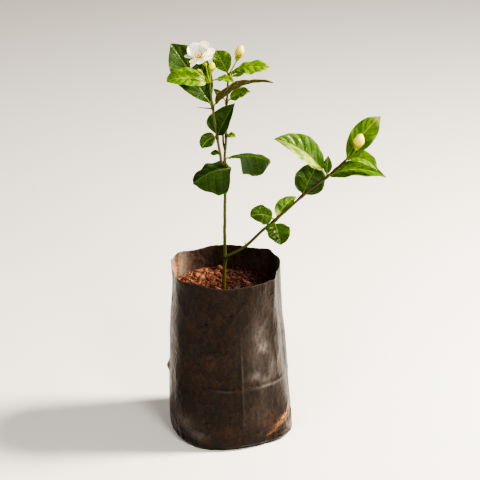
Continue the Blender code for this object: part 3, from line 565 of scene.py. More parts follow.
def add_leaf(blades, stalks, stem, facts, seed):
    """A leaf blade with pillows between its sunken veins, and the petiole that carries it."""
    root, path, split = leaf_path(stem, facts)
    rows = int(np.clip(facts.length / BLADE_CELL, *BLADE_ROWS))
    half_cols = int(np.clip(facts.width / 2 / BLADE_CELL, *HALF_BLADE_COLUMNS))
    s = np.linspace(0, 1, rows + 1)
    t = np.linspace(0, 1, half_cols + 1)
    a = 0.7 * t + 0.3 * t * t
    u = np.concatenate([-a[:0:-1], a])
    at = (split + (1 - split) * s) * MIDRIB_STEPS
    spots = np.arange(MIDRIB_STEPS + 1)
    middle = read_path(at, spots, path)
    ahead = unit(read_path(at, spots, unit(np.gradient(path, axis=0))))
    looks = direction(facts.face_to, facts.face_rise)
    normal = unit(looks - ahead * (ahead @ looks)[:, None])
    left = np.cross(normal, ahead)
    S, U = np.meshgrid(s, u, indexing="ij")
    A = np.abs(U)
    cell = np.stack([S * facts.length, U * facts.width / 2, S * 0], -1)
    uneven = noise_at(cell * (1, 0, 0) + np.sign(U)[..., None], 0.28, seed)
    reach = (facts.width / 2 * blade_width(s, facts))[:, None] * (1 + 0.035 * uneven)
    reach = reach * np.where(U > 0, *facts.halves)
    if facts.torn:
        kept = lerp(0.12, 1.0, smooth(facts.torn - 0.03, facts.torn + 0.03, S))
        reach = np.where(U < 0, reach * kept, reach)
    out, lift = np.empty_like(U), np.empty_like(U)
    for side, fold in zip((U >= 0, U < 0), facts.fold):
        share, half_out, half_lift = fold_half(fold)
        out[side] = np.interp(A[side], share, half_out)
        lift[side] = np.interp(A[side], share, half_lift)
    ripple = facts.wave * U * U * np.sin(2 * np.pi * facts.waves * S + np.where(U > 0, 2.1, 0.0))
    phase = (S - 0.24 * A ** 1.25) * facts.laterals + 0.17 * (U > 0)
    spacing = facts.length / facts.laterals
    length_fade = np.sin(np.pi * np.clip(S, 0.02, 0.98))
    fade = np.sin(np.pi * np.clip(A, 0.04, 0.97)) ** 0.55 * length_fade ** 0.4
    pillow = np.abs(np.sin(np.pi * phase)) ** 0.8 - 0.45
    swell = facts.quilt * min(spacing * 0.13, 1.0) * pillow
    swell = swell + 0.5 * facts.quilt * noise_at(cell, 0.11, seed + 11)
    swell = swell + 0.10 * noise_at(cell, 0.9, seed + 5)
    groove = -0.32 * hump(A * reach, 0.7)
    curl = -0.45 * smooth(0.82, 1.0, A) * length_fade
    height = lift * reach + ripple * np.sin(np.pi * S) + swell * fade + groove + curl
    top = (middle[:, None, :] + left[:, None, :] * (np.sign(U) * out * reach)[..., None]
           + normal[:, None, :] * height[..., None])
    thick = lerp(BLADE_THICKNESS, THIN_EDGE, smooth(0.75, 1.0, A))
    thick += 0.75 * hump(A * reach, 0.6) * lerp(1.0, 0.25, S)
    vein = hump(np.abs((phase + 0.5) % 1 - 0.5) * spacing, 0.6) * (1 - smooth(0.75, 0.98, A))
    thick += 0.12 * vein * fade
    # Painted light: paler yellow-green at the tip, at the base and on the left half stands for sunlight
    # falling on the blade and shining through it.
    pale = facts.pale_tip * smooth(0.78, 1.0, S) * (0.7 + 0.6 * noise_at(cell, 0.3, seed))
    pale += facts.pale_base * (1 - smooth(0.0, 0.3, S))
    pale += (facts.pale_left * smooth(0.0, 0.1, U) * smooth(0.95, 0.45, S)
             * (0.55 + 0.9 * noise_at(cell, 0.16, seed + 9)))
    tone = facts.tone + 0.1 * noise_at(cell, 0.08, seed + 2)
    add_sheet(blades, top, thick, dict(blade=cell + (0, 0, seed * 7.0), phase=phase, across=A * reach,
                                       edge=A, tone=tone, pale=np.clip(pale, 0, 1)),
              ruddy=facts.ruddy, matte=facts.matte)
    end = int(MIDRIB_STEPS * (split + PETIOLE_OVERLAP * (1 - split)))
    picks = np.unique(np.linspace(0, end, PETIOLE_RINGS).astype(int))
    share = np.linspace(0, 1, len(picks))
    stalk = path[picks] - UP * 0.1 - normal[0] * 0.25 * smooth(0.4, 1.0, share)[:, None]
    stalk[0] = root
    radius = at_share(share, PETIOLE_RADIUS * np.array([1.25, 1.0, 0.95, 0.8]))
    if facts.length < SMALL_LEAF:
        radius = radius * 0.75
    add_tube(stalks, tube_rings(stalk, radius, PETIOLE_SIDES), stalk, radius, seed,
             bark=0.12 + 0.25 * (1 - facts.tone), fresh=0.3 + 0.5 * facts.tone)
    add_stub(stalks, stem, facts.height + 0.8, facts.heading, 55, 1.9, (0.35, 0.55, 0.3, 0.08),
             outward=0.9, middle=0.55, bark=0.4, fresh=0.4, sides=8, steps=8)


def add_leaves(blades, stalks, stem, leaves, seed):
    for k, facts in enumerate(leaves):
        add_leaf(blades, stalks, stem, facts, seed + k * 1.7)


# Calyxes, buds and the bloom

def add_calyx(shape, base, axis, cup_radius, cup_length, lobes, lobe_length, spread):
    """A green cup with narrow pointed lobes that stand round its mouth."""
    rows, sides, fresh = 12, 20, 0.9
    path = base + np.outer(np.linspace(-0.6, cup_length, rows), axis)
    share = np.linspace(0, 1, rows)
    radii = cup_radius * (0.45 + 0.58 * smooth(0, 0.5, share) - 0.08 * smooth(0.6, 1, share))
    ribs = 1 + 0.06 * np.cos(lobes * turns_of(sides))
    rings = path[:, None, :] + (tube_rings(path, radii, sides) - path[:, None, :]) * ribs[None, :, None]
    add_tube(shape, rings, path, radii, fresh=fresh, bark=0.1)
    for k in range(lobes):
        spoke = side_of(axis, 360 * k / lobes + 9 * math.sin(5 * k))
        long = lobe_length * (1 + 0.14 * math.sin(3 * k + 1))
        root = base + axis * (cup_length - 0.8) + spoke * cup_radius * 0.8
        bow = root + axis * long * 0.5 + spoke * spread
        tip = root + axis * long + spoke * spread * (1.7 + 0.3 * math.sin(4 * k))
        add_twig(shape, (root, bow, tip), (0.5, 0.46, 0.34, 0.06), bark=0.05, fresh=fresh, sides=8,
                 flat=0.6, side=np.cross(axis, spoke))


def add_flower_stalk(shape, stem, flower, share, rise, calyx, foot=0.62, bark=0.2, fresh=0.7):
    """The stalk from a stem's tip to a flower, bent at a share of its way, and the flower's calyx."""
    base, axis = flower
    top = np.array(stem[-1]) - UP
    add_twig(shape, (top, lerp(top, base, share) + UP * rise, base + axis * 0.4), (foot, 0.55, 0.6),
             bark=bark, fresh=fresh, sides=12, steps=16)
    add_calyx(shape, base, axis, *calyx)


def add_bud(shape, base, axis, length, width):
    """A closed bud whose four petals overlap in a spiral."""
    rows, sides, petals, twist = 60, 96, 4, 1.7
    s = np.linspace(0.012, 0.988, rows)
    radius = width / 2 * np.maximum(np.sin(np.pi * s ** 0.85), 0) ** 0.62
    radius = np.maximum(radius, width / 2 * 0.5 * (1 - s) ** 2)
    S, T = np.meshgrid(s, turns_of(sides), indexing="ij")
    fold = (petals * (T - twist * S * (0.4 + 0.6 * S)) / (2 * np.pi)) % 1
    step = fold ** 1.5 - smooth(0.93, 1.0, fold)
    lip = 1 + 0.15 * (step - 0.3) * smooth(0.04, 0.3, S) * (0.6 + 0.5 * S)
    spokes = np.cos(T)[..., None] * side_of(axis) + np.sin(T)[..., None] * side_of(axis, 90)
    points = base + (S * length)[..., None] * axis + spokes * (radius[:, None] * lip)[..., None]
    points += 0.05 * noise_at(points, 0.5)[..., None] * spokes
    shape.add(points, ring_faces(rows, sides), along=S.ravel(), seam=smooth(0.8, 0.98, fold).ravel())


def add_petal(shape, base, axis, facts, seed, tint):
    """A thin cupped petal that leaves the axis at its opening angle and curls along its length."""
    around, opening, length, width, curl, cup = facts
    spoke = side_of(axis, around)
    rows, cols = 30, 21
    s = 1 - (1 - np.linspace(0, 1, rows)) ** 1.5
    lean = np.radians(opening + curl * s)
    steps = np.outer(np.cos(lean), axis) + np.outer(np.sin(lean), spoke)
    middle = base + np.vstack([np.zeros(3), np.cumsum(steps[1:] * np.diff(s)[:, None], axis=0)]) * length
    normal = np.outer(np.sin(lean), axis) - np.outer(np.cos(lean), spoke)
    left = np.cross(normal, steps)
    full = lerp(0.85, 0.4, smooth(5.0, 9.0, width))
    half = width / 2 * outline(lerp(0.05, 0.997, s), 0.62, full)
    half = np.maximum(half, width / 2 * 0.16 * (1 - s) + 0.2)
    S, U = np.meshgrid(s, np.linspace(1, -1, cols), indexing="ij")
    lift = cup * half[:, None] * U * U + 0.3 * U * np.sin(5 * S + math.radians(around)) * S
    lift += 0.22 * np.sin(9 * S + 4 * U + seed) * np.abs(U) * S
    notch = -0.3 * hump(U * half[:, None], 0.8) * smooth(0.9, 1.0, S)
    top = (middle[:, None, :] + left[:, None, :] * (half[:, None] * U)[..., None]
           + normal[:, None, :] * lift[..., None] + steps[:, None, :] * notch[..., None])
    ribs = 0.05 * np.cos(U * 17 + 2 * noise_at(top, 0.2, seed)) * np.sin(np.pi * S)
    top = top + (0.3 * noise_at(top, 0.16, seed) + ribs)[..., None] * normal[:, None, :]
    thick = lerp(PETAL_THICKNESS, THIN_EDGE, smooth(0.6, 1.0, np.maximum(np.abs(U), S)))
    add_sheet(shape, top, thick, dict(along=S, heart=np.maximum(1 - smooth(0.0, 0.42, S), tint)))


def add_bloom(shape):
    base, axis = OPEN_BLOOM
    rows, sides = 14, 18
    foot = base + axis * 1.2
    mouth = base + axis * (CALYX_LENGTH + SEAT_GAP + BLOOM_TUBE_LENGTH)
    share = np.linspace(0, 1, rows)
    path = foot + np.outer(share, mouth + axis * 1.0 - foot)
    radii = np.interp(share, (0, 0.55, 0.8, 1), (0.85, 0.95, 1.3, 2.1))
    shape.add(tube_rings(path, radii, sides), ring_faces(rows, sides), along=0.1, heart=0.55)
    for petals, first_seed, tint in ((OUTER_PETALS + CUPPED_PETALS, 0, 0.0), (THROAT_PETALS, 50, 0.45)):
        for k, facts in enumerate(petals):
            add_petal(shape, mouth, axis, facts, first_seed + k * 2.3, tint)


# The bag

def bag_radius(angle, height, inside=False):
    """Radius of the bag's outer face at angles in degrees and heights."""
    up = height / BAG_RIM_HEIGHT
    belly = lerp(BAG_BELLY_RADIUS, BAG_RIM_RADIUS, smooth(0.1, 1.05, up))
    radius = lerp(BAG_FOOT_RADIUS, belly, smooth(-BAG_FOOT_ROUNDING, BAG_FOOT_ROUNDING, height))
    top, low = smooth(0.55, 1.0, up), 1 - smooth(0.0, 0.5, up)
    radius += 5.0 * top * bump(angle, 43, 13)
    radius -= 1.6 * smooth(0.35, 0.9, up) * (bump(angle, -8, 14) + bump(angle, 62, 12))
    radius += 1.7 * smooth(0.3, 0.8, up) * bump(angle, -33, 7)
    radius -= 3.2 * top * bump(angle, 183, 32)
    radius += 5.8 * low * bump(angle, 243, 28) + 5.2 * low * bump(angle, 334, 20)
    radius -= 2.4 * bump(angle, -56, 13) * hump(height - 82, 16)
    if not inside:
        radius += 2.2 * bump(angle, 181, 5) * hump(height - WELD_HEIGHT, 4)
    radius += 0.7 * bump(angle, -62, 34) * hump(height - WELD_HEIGHT, 2.2)
    radius += 2.2 * smooth(0.86, 1.0, up) * bump(angle, 168, 16)
    return radius + 0.5 * np.sin(np.radians(angle * 7 + 40)) * smooth(0.1, 0.6, up)


def rim_lift(angle):
    """How far the cut rim stands above its mean height, with the knife's small unevenness."""
    lift = 1.1 * np.sin(np.radians(2 * angle + 25)) + 0.7 * np.sin(np.radians(5 * angle))
    lift += 3.2 * bump(angle, 146, 13) - 1.6 * bump(angle, 159, 4)
    lift += 1.2 * bump(angle, 170, 6) - 2.2 * bump(angle, 222, 18)
    spots = round_film(angle, 0 * angle)
    return lift + 0.55 * noise_at(spots, 0.16, 4.0) + 0.22 * noise_at(spots, 0.7, 9.0)


def round_film(angle, height):
    """Points of a plain tube of the film's mean radius."""
    turn = np.radians(angle)
    return np.stack([np.cos(turn) * FILM_MEAN_RADIUS, np.sin(turn) * FILM_MEAN_RADIUS, height], -1)


def place(angle, height, radius):
    """Points at angles, heights and radii of the bag, which leans a little towards its rim."""
    turn = np.radians(angle)
    sway = np.asarray(height / BAG_RIM_HEIGHT)[..., None] * BAG_RIM_SHIFT
    return np.stack([radius * np.cos(turn), radius * np.sin(turn), height + 0 * radius], -1) + sway


def arc_of(angle):
    """Distance round the film from the angle 0, on its mean radius."""
    return np.radians((angle + 180) % 360 - 180) * FILM_MEAN_RADIUS


def crease(arc, height, start_angle, start_height, end_angle, end_height, rise, width):
    """A ridge along a line between two places of the film, fading at its ends."""
    start = np.array((math.radians(start_angle) * FILM_MEAN_RADIUS, start_height))
    away = np.array((math.radians(end_angle) * FILM_MEAN_RADIUS, end_height)) - start
    along = ((arc - start[0]) * away[0] + (height - start[1]) * away[1]) / np.linalg.norm(away) ** 2
    held = np.clip(along, 0, 1)
    gap = np.hypot(arc - start[0] - held * away[0], height - start[1] - held * away[1])
    taper = np.sin(np.pi * np.clip(held, 0.08, 0.92)) ** 0.5
    return rise * taper * np.exp(-np.abs(gap / width) ** 1.2)


def chance_creases():
    """Slight creases all over the film, mostly upright."""
    draws = random.Random(CREASE_SEED)
    for _ in range(CHANCE_CREASES):
        angle, height = draws.uniform(-180, 180), draws.uniform(6, 138)
        turn, long = math.radians(draws.gauss(90, 38)), draws.uniform(9, 30)
        yield (angle, height, angle + math.degrees(math.cos(turn) * long / FILM_MEAN_RADIUS),
               height + math.sin(turn) * long, draws.uniform(0.12, 0.4), draws.uniform(0.9, 2.4))


def film_relief(angle, height):
    """Creases, crumples and slack of the film, added to its radius."""
    arc = arc_of(angle)
    around = round_film(angle, height)
    relief = np.zeros_like(arc)
    for line in (*CREASES, *chance_creases()):
        for wrap in (-360, 0, 360):
            shifted = arc + math.radians(wrap) * FILM_MEAN_RADIUS
            near = np.abs(shifted - math.radians(line[0]) * FILM_MEAN_RADIUS) < CREASE_REACH
            if near.any():
                relief += np.where(near, crease(shifted, height, *line), 0)
    relief += 0.7 * noise_at(around * (1, 1, 0.3), 0.06, 3.0)
    facets = 1 - np.abs(noise_at(around * (1, 1, 0.6), 0.055, 8.0)) * 2.4
    loose = 0.4 + 0.6 * bump(angle, -42, 34) + 0.4 * bump(angle, 120, 60) + 0.6 * hump(height, 22)
    relief += 0.75 * loose * np.clip(facets, -1, 1)
    crumples = np.maximum(1 - np.abs(noise_at(around, 0.12, 15.0)) * 3.0, 0) ** 1.5
    rumpled = 0.12 + bump(angle, -30, 24) * hump(height - 15, 15) * 2.0
    rumpled += bump(angle, -135, 28) * hump(height - 16, 16) * 1.8
    rumpled += hump(height, 9) * 1.3 + smooth(138, 150, height) * 0.4
    relief += 0.34 * rumpled * crumples + 0.10 * rumpled * noise_at(around, 0.42, 21.0)
    slack = bump(angle, -42, 20) * smooth(40, 70, height) + 0.35 * smooth(40, 80, height) + 0.25
    relief += 0.22 * slack * np.maximum(1 - np.abs(noise_at(around * (1, 1, 0.35), 0.26, 27.0)) * 3.2, 0)
    relief += 0.9 * smooth(132, 152, height) * noise_at(around, 0.06, 30.0)
    return relief * lerp(0.25, 1.0, smooth(0, 5, height)) - 0.25


def patches(angle, height, places):
    amount = np.zeros_like(angle)
    for centre, level, wide, tall, weight in places:
        amount += weight * bump(angle, centre, wide) * hump(height - level, tall)
    return np.clip(amount, 0, 1)


def make_bag(material):
    """The film: its outer face from the ground to the rim, and its inner face down to the floor."""
    angles = np.arange(FILM_COLUMNS) * 360.0 / FILM_COLUMNS
    higher_rows = FILM_ROWS - FILM_FOOT_ROWS + 1
    rows_out = np.append(np.linspace(0, FILM_FOOT_HEIGHT, FILM_FOOT_ROWS),
                         np.linspace(FILM_FOOT_HEIGHT, BAG_RIM_HEIGHT, higher_rows)[1:])
    rows_in = np.append(np.linspace(BAG_RIM_HEIGHT, FINE_FILM_HEIGHT, FILM_INNER_ROWS),
                        np.linspace(FINE_FILM_HEIGHT, BAG_FLOOR, FILM_DEEP_ROWS)[1:])
    height, angle = np.meshgrid(np.append(rows_out, rows_in), angles, indexing="ij")
    within = np.repeat([0.0, 1.0], [len(rows_out), len(rows_in)])[:, None]
    wall = lerp(FILM_THICKNESS, BAG_WALL, 1 - smooth(90, 125, height))
    inset = within * wall * smooth(0, 1.5, BAG_RIM_HEIGHT - height + 0.35)
    points = place(angle, height, bag_radius(angle, height) + film_relief(angle, height) - inset)
    points += (rim_lift(angle) * smooth(0.8, 1.0, height / BAG_RIM_HEIGHT))[..., None] * UP
    inner_rust = 0.7 + bump(angle, 170, 30) * smooth(150, 138, height) * 0.6
    inner_rust += smooth(139, 132, height) * 0.2
    # Inside: tan dust on the left wall, with a dark line painted as shade along a fold; a faint paleness
    # all round and a pale patch high on the right wall are painted light.
    inner_dust_and_painted_light = np.clip(bump(angle, 176, 30) * 3.4, 0, 2.0) * (1 - 0.85 * bump(angle, 152, 4))
    inner_dust_and_painted_light = np.maximum(inner_dust_and_painted_light, 0.14 + 0.75 * bump(angle, 4, 20) * smooth(132, 142, height))
    inner_ochre = bump(angle, 161, 17) * hump(height - 140, 8)
    # Painted shade: the side that the key lamp lights most gets less of the paler dust and rust, so it
    # reads darker.
    painted_shade_lit_side = bump(angle, 18, 44)
    outer_rust = patches(angle, height, RUSTS) - 0.3 * painted_shade_lit_side
    # Painted highlight: a pale line along the top of the cut rim.
    outer_scuff = patches(angle, height, SCUFFS_AND_SHEEN) + 0.3 * smooth(150.8, 152, height)
    arc = arc_of(angle)
    outer_ochre = np.max([crease(arc, height, *smear) for smear in SMEARS], axis=0)
    shape = Shape("scuff", "rust", "ochre", "dust", "drawn")
    shape.add(points, ring_faces(*angle.shape), scuff=np.where(within, inner_dust_and_painted_light, outer_scuff),
              rust=np.where(within, inner_rust, outer_rust), dust=np.where(within, 1, 1 - 0.75 * painted_shade_lit_side),
              ochre=np.where(within, inner_ochre, outer_ochre),
              drawn=np.stack([arc * 0.84 + height * 0.54, 0 * arc, height * 0.84 - arc * 0.54], -1))
    make_piece("bag_film", shape, material, "nursery_bag", "black_film", sharp=80)


# The soil

def soil_height(x, y):
    """Clods and a dip, as in the solid, with finer crumbling."""
    flat = np.stack([x, y, 0 * x], -1)
    height = SOIL_LEVEL + noise_at(flat + UP * (4.0 / 0.09), 0.09) * 2.2
    height += noise_at(flat + UP * (9.0 / 0.32), 0.32) * SOIL_CRUMB
    height -= 2.4 * np.exp(-((x - 4) ** 2 + (y + 8) ** 2) / 260)
    for size, scale, seed in ((0.9, 0.5, 40.0), (0.6, 1.1, 50.0), (0.3, 2.1, 57.0)):
        height += size * noise_at(flat, scale, seed)
    return height


def soil_ring(height, inset):
    angles = np.arange(SOIL_SEGMENTS) * 360.0 / SOIL_SEGMENTS
    level = np.full_like(angles, height)
    radius = bag_radius(angles, level, inside=True) + film_relief(angles, level) - inset
    return place(angles, level, radius)


def crumb_form(detail):
    """Points and faces of a plain ball, to be broken into crumbs."""
    bm = bmesh.new()
    bmesh.ops.create_icosphere(bm, subdivisions=detail, radius=1.0)
    points = np.array([v.co[:] for v in bm.verts])
    faces = [[v.index for v in face.verts] for face in bm.faces]
    bm.free()
    return points, faces


def broken(form, draws):
    """A ball broken to a clod: flats cut at random, roughened, and turned."""
    reach = np.ones(len(form))
    for _ in range(CRUMB_FLATS):
        flat = direction(draws.uniform(0, 360), math.degrees(math.asin(draws.uniform(-1, 1))))
        reach = np.minimum(reach, draws.uniform(0.62, 0.95) / np.maximum(form @ flat, 0.05))
    reach = reach * (1 + 0.34 * noise_at(form, 1.5, draws.uniform(0, 90)))
    squash = np.array([draws.uniform(0.8, 1.35), draws.uniform(0.8, 1.2), draws.uniform(0.65, 1.0)])
    spin = draws.uniform(0, math.tau)
    turn = np.array(((math.cos(spin), -math.sin(spin), 0), (math.sin(spin), math.cos(spin), 0), (0, 0, 1)))
    return (form * reach[:, None] * squash) @ turn.T


def painted_light_and_shadow(x):
    """Painted light and shadow: the soil is paler at the left, where light falls, and darker right of the
    stem, where the rim and the plant cast shadow.
    """
    return 0.35 * smooth(-14, -34, x) - 0.38 * smooth(-16, 4, x)


def make_soil(material):
    rings = [soil_ring(height, SOIL_DEEP_GAP) for height in SOIL_LEVELS]
    edge = soil_ring(SOIL_LEVEL, SOIL_GAP)
    centre = edge.mean(axis=0)
    for k in range(SOIL_RINGS):
        share = 1 - k / SOIL_RINGS
        spots = centre + (edge - centre) * share
        settle = soil_height(spots[:, 0], spots[:, 1]) - SOIL_LEVEL
        spots[:, 2] = SOIL_LEVEL + settle * min(1.0, 2.2 - 1.7 * share)
        rings.append(spots)
    points = np.vstack(rings)
    bed = Shape("shade")
    bed.add(points, ring_faces(len(rings), SOIL_SEGMENTS),
            shade=0.5 + 0.5 * noise_at(points, 0.2, 60.0) + painted_light_and_shadow(points[:, 0]))
    make_piece("soil_bed", bed, material, "soil", "red_soil", sharp=180)
    crumbs = Shape("shade")
    fine, coarse = (crumb_form(2), FINE_SIZES, FINE_REACH), (crumb_form(3), COARSE_SIZES, COARSE_REACH)
    draws = random.Random(CRUMB_SEED)
    for k in range(CRUMB_COUNT):
        (form, faces), sizes, far = coarse if k < COARSE_CRUMBS else fine
        size = draws.uniform(*sizes)
        turn, reach = draws.uniform(0, math.tau), far * math.sqrt(draws.random())
        x, y = centre[0] + reach * math.cos(turn), centre[1] + reach * math.sin(turn)
        if math.hypot(x - SOIL_STEM[0], y - SOIL_STEM[1]) < STEM_CLEARANCE + size:
            continue
        z = float(soil_height(np.array([x]), np.array([y]))[0])
        lump = broken(form, draws) * size
        crumbs.add(lump + (x, y, z + size * draws.uniform(-0.15, 0.4)), faces,
                   shade=draws.uniform(0.0, 0.9) + painted_light_and_shadow(x))
    make_piece("soil_crumbs", crumbs, material, "soil", "red_soil", sharp=38)


# Materials

class Value:
    """What one socket of a material gives; sums with it add the nodes that work them out."""

    def __init__(self, look, socket):
        self.look = look
        self.socket = socket

    def __add__(self, other):
        return self.look.math("ADD", self, other)

    def __sub__(self, other):
        return self.look.math("SUBTRACT", self, other)

    def __mul__(self, other):
        return self.look.math("MULTIPLY", self, other)

    def __abs__(self):
        return self.look.math("ABSOLUTE", self)

    def clamped(self):
        self.socket.node.use_clamp = True
        return self


class Surface:
    """A Principled material and short ways to add its nodes."""

    def __init__(self, name, **settings):
        self.material = bpy.data.materials.new(name)
        self.material.use_nodes = True
        self.tree = self.material.node_tree
        self.shader = self.tree.nodes["Principled BSDF"]
        for socket, value in settings.items():
            self.shader.inputs[socket.replace("_", " ")].default_value = value

    def put(self, socket, value):
        if isinstance(value, Value):
            self.tree.links.new(value.socket, socket)
        elif value is not None:
            socket.default_value = value

    def node(self, kind, inputs, output=0, **settings):
        """What a new node gives, once its inputs are set or linked."""
        made = self.tree.nodes.new(kind)
        for name, value in settings.items():
            setattr(made, name, value)
        for index, value in inputs.items():
            self.put(made.inputs[index], value)
        return Value(self, made.outputs[output])

    def value(self, name):
        return self.node("ShaderNodeAttribute", {}, "Fac", attribute_name=name)

    def vector(self, name):
        return self.node("ShaderNodeAttribute", {}, "Vector", attribute_name=name)

    def place(self, scale=(1, 1, 1), vector=None):
        """Coordinates in millimetres, from the object itself or from a stored vector."""
        source = vector or self.node("ShaderNodeTexCoord", {}, "Object")
        size = 1.0 if vector else 1 / MM
        return self.node("ShaderNodeMapping", {"Vector": source, "Scale": [k * size for k in scale]})

    def noise(self, vector, scale, detail=3.0, rough=0.55, distortion=0.0):
        inputs = dict(Vector=vector, Scale=scale, Detail=detail, Roughness=rough, Distortion=distortion)
        return self.node("ShaderNodeTexNoise", inputs, "Fac")

    def cells(self, vector, scale, feature="F1"):
        inputs = dict(Vector=vector, Scale=scale)
        return self.node("ShaderNodeTexVoronoi", inputs, "Distance", feature=feature)

    def math(self, operation, a, b=None):
        return self.node("ShaderNodeMath", {0: a, 1: b}, operation=operation)

    def step(self, value, low, high, to_low=0.0, to_high=1.0):
        """A smooth step of a value between two edges."""
        return self.node("ShaderNodeMapRange", {0: value, 1: low, 2: high, 3: to_low, 4: to_high},
                         interpolation_type="SMOOTHSTEP")

    def mix(self, factor, a, b):
        first, second = [(*k, 1.0) if isinstance(k, tuple) else k for k in (a, b)]
        return self.node("ShaderNodeMix", {0: factor, 6: first, 7: second}, 2, data_type="RGBA")

    def ramp(self, factor, *stops):
        made = self.node("ShaderNodeValToRGB", {0: factor})
        elements = made.socket.node.color_ramp.elements
        while len(elements) < len(stops):
            elements.new(0.5)
        for element, (at, colour) in zip(elements, stops):
            element.position = at
            element.color = (*colour, 1.0)
        return made

    def bump(self, height, distance, strength=1.0, normal=None):
        return self.node("ShaderNodeBump", dict(Strength=strength, Distance=distance * MM, Height=height,
                                                Normal=normal))

    def finish(self, colour, roughness=None, normal=None):
        self.put(self.shader.inputs["Base Color"], colour)
        self.put(self.shader.inputs["Roughness"], roughness)
        self.put(self.shader.inputs["Normal"], normal)
        return self.material


def leaf_material():
    look = Surface("jasmine_leaf", Coat_Weight=0.15, Coat_Roughness=0.19, Subsurface_Weight=0.22,
                   Subsurface_Radius=(0.9, 1.3, 0.15), Subsurface_Scale=0.9 * MM, Specular_IOR_Level=0.12)
    flat = look.place(vector=look.vector("blade"))
    broad = look.noise(flat, 0.16, 3)
    fine = look.noise(flat, 1.1, 4, 0.6)
    tone = (look.value("tone") + (broad - 0.5) * 0.34).clamped()
    colour = look.ramp(tone, (0.0, (0.012, 0.026, 0.003)), (0.25, (0.025, 0.058, 0.003)),
                       (0.5, (0.052, 0.118, 0.004)), (0.75, (0.112, 0.215, 0.007)),
                       (1.0, (0.215, 0.37, 0.018)))
    colour = look.mix(look.step(fine, 0.3, 0.75, 0.35, 0.0), colour, (0.010, 0.030, 0.004))
    line = abs(look.math("FRACT", look.value("phase") + 0.5) - 0.5)
    lateral = look.step(line, 0.012, 0.055, 1.0, 0.0) * look.step(look.value("edge"), 0.72, 0.96, 1.0, 0.0)
    rib = look.step(look.value("across"), 0.3, 0.75, 1.0, 0.0)
    net = look.step(look.cells(flat, 0.9, "DISTANCE_TO_EDGE"), 0.02, 0.10, 1.0, 0.0)
    veins = look.math("MAXIMUM", look.math("MAXIMUM", rib, lateral * 0.55), net * 0.14)
    pale_green = look.mix(tone, (0.045, 0.090, 0.008), (0.40, 0.50, 0.08))
    colour = look.mix(veins * 0.6, colour, pale_green)
    under = look.value("under")
    colour = look.mix(under * 0.45, colour, (0.075, 0.125, 0.016))
    # Partly the leaf's own olive-brown and partly painted shade: the drooping leaf that hangs in shade is
    # tinted darker olive-brown.
    colour = look.mix(look.value("ruddy"), colour, (0.050, 0.036, 0.005))
    rim = look.step(look.value("edge"), 0.955, 1.0)
    colour = look.mix(rim * 0.4, colour, (0.25, 0.30, 0.04))
    # Painted light: paler yellow-green where sunlight falls on the blade and shines through it.
    colour = look.mix(look.value("pale"), colour, (0.60, 0.64, 0.19))
    specks = look.step(look.noise(flat, 0.55, 2), 0.70, 0.76)
    colour = look.mix(specks * 0.3, colour, (0.16, 0.13, 0.03))
    dull = look.math("MAXIMUM", under, look.value("matte")) * 0.28
    wrinkled = look.bump(look.noise(flat, 0.42, 4, 0.62, 0.4), 1.2, 0.7)
    return look.finish(colour, look.step(fine, 0.2, 0.8, 0.30, 0.44) + dull,
                       look.bump(fine, 0.03, 0.4, wrinkled))


def stem_material():
    look = Surface("plant_stem", Subsurface_Weight=0.05, Subsurface_Radius=(0.6, 0.9, 0.2),
                   Subsurface_Scale=0.6 * MM, Specular_IOR_Level=0.35)
    grain = look.vector("grain")
    streak = look.noise(look.place((1.6, 1.6, 0.16), grain), 1.0, 4, 0.6)
    fine = look.noise(look.place((3.0, 3.0, 0.9), grain), 1.0, 4, 0.65)
    bark = (look.value("bark") + (streak - 0.5) * 0.9).clamped()
    colour = look.ramp(bark, (0.0, (0.052, 0.088, 0.004)), (0.35, (0.062, 0.070, 0.008)),
                       (0.65, (0.045, 0.030, 0.008)), (1.0, (0.026, 0.014, 0.006)))
    colour = look.mix(look.step(fine, 0.55, 0.8, 0.0, 0.4), colour, (0.018, 0.011, 0.006))
    dots = look.step(look.cells(look.place((0.9, 0.9, 0.45), grain), 1.0), 0.08, 0.18, 0.35, 0.0)
    colour = look.mix(dots, colour, (0.17, 0.125, 0.06))
    green = look.mix(streak, (0.14, 0.24, 0.008), (0.34, 0.42, 0.03))
    colour = look.mix(look.value("fresh"), colour, green)
    return look.finish(colour, look.step(fine, 0.2, 0.8, 0.42, 0.62), look.bump(fine + streak, 0.14, 0.8))


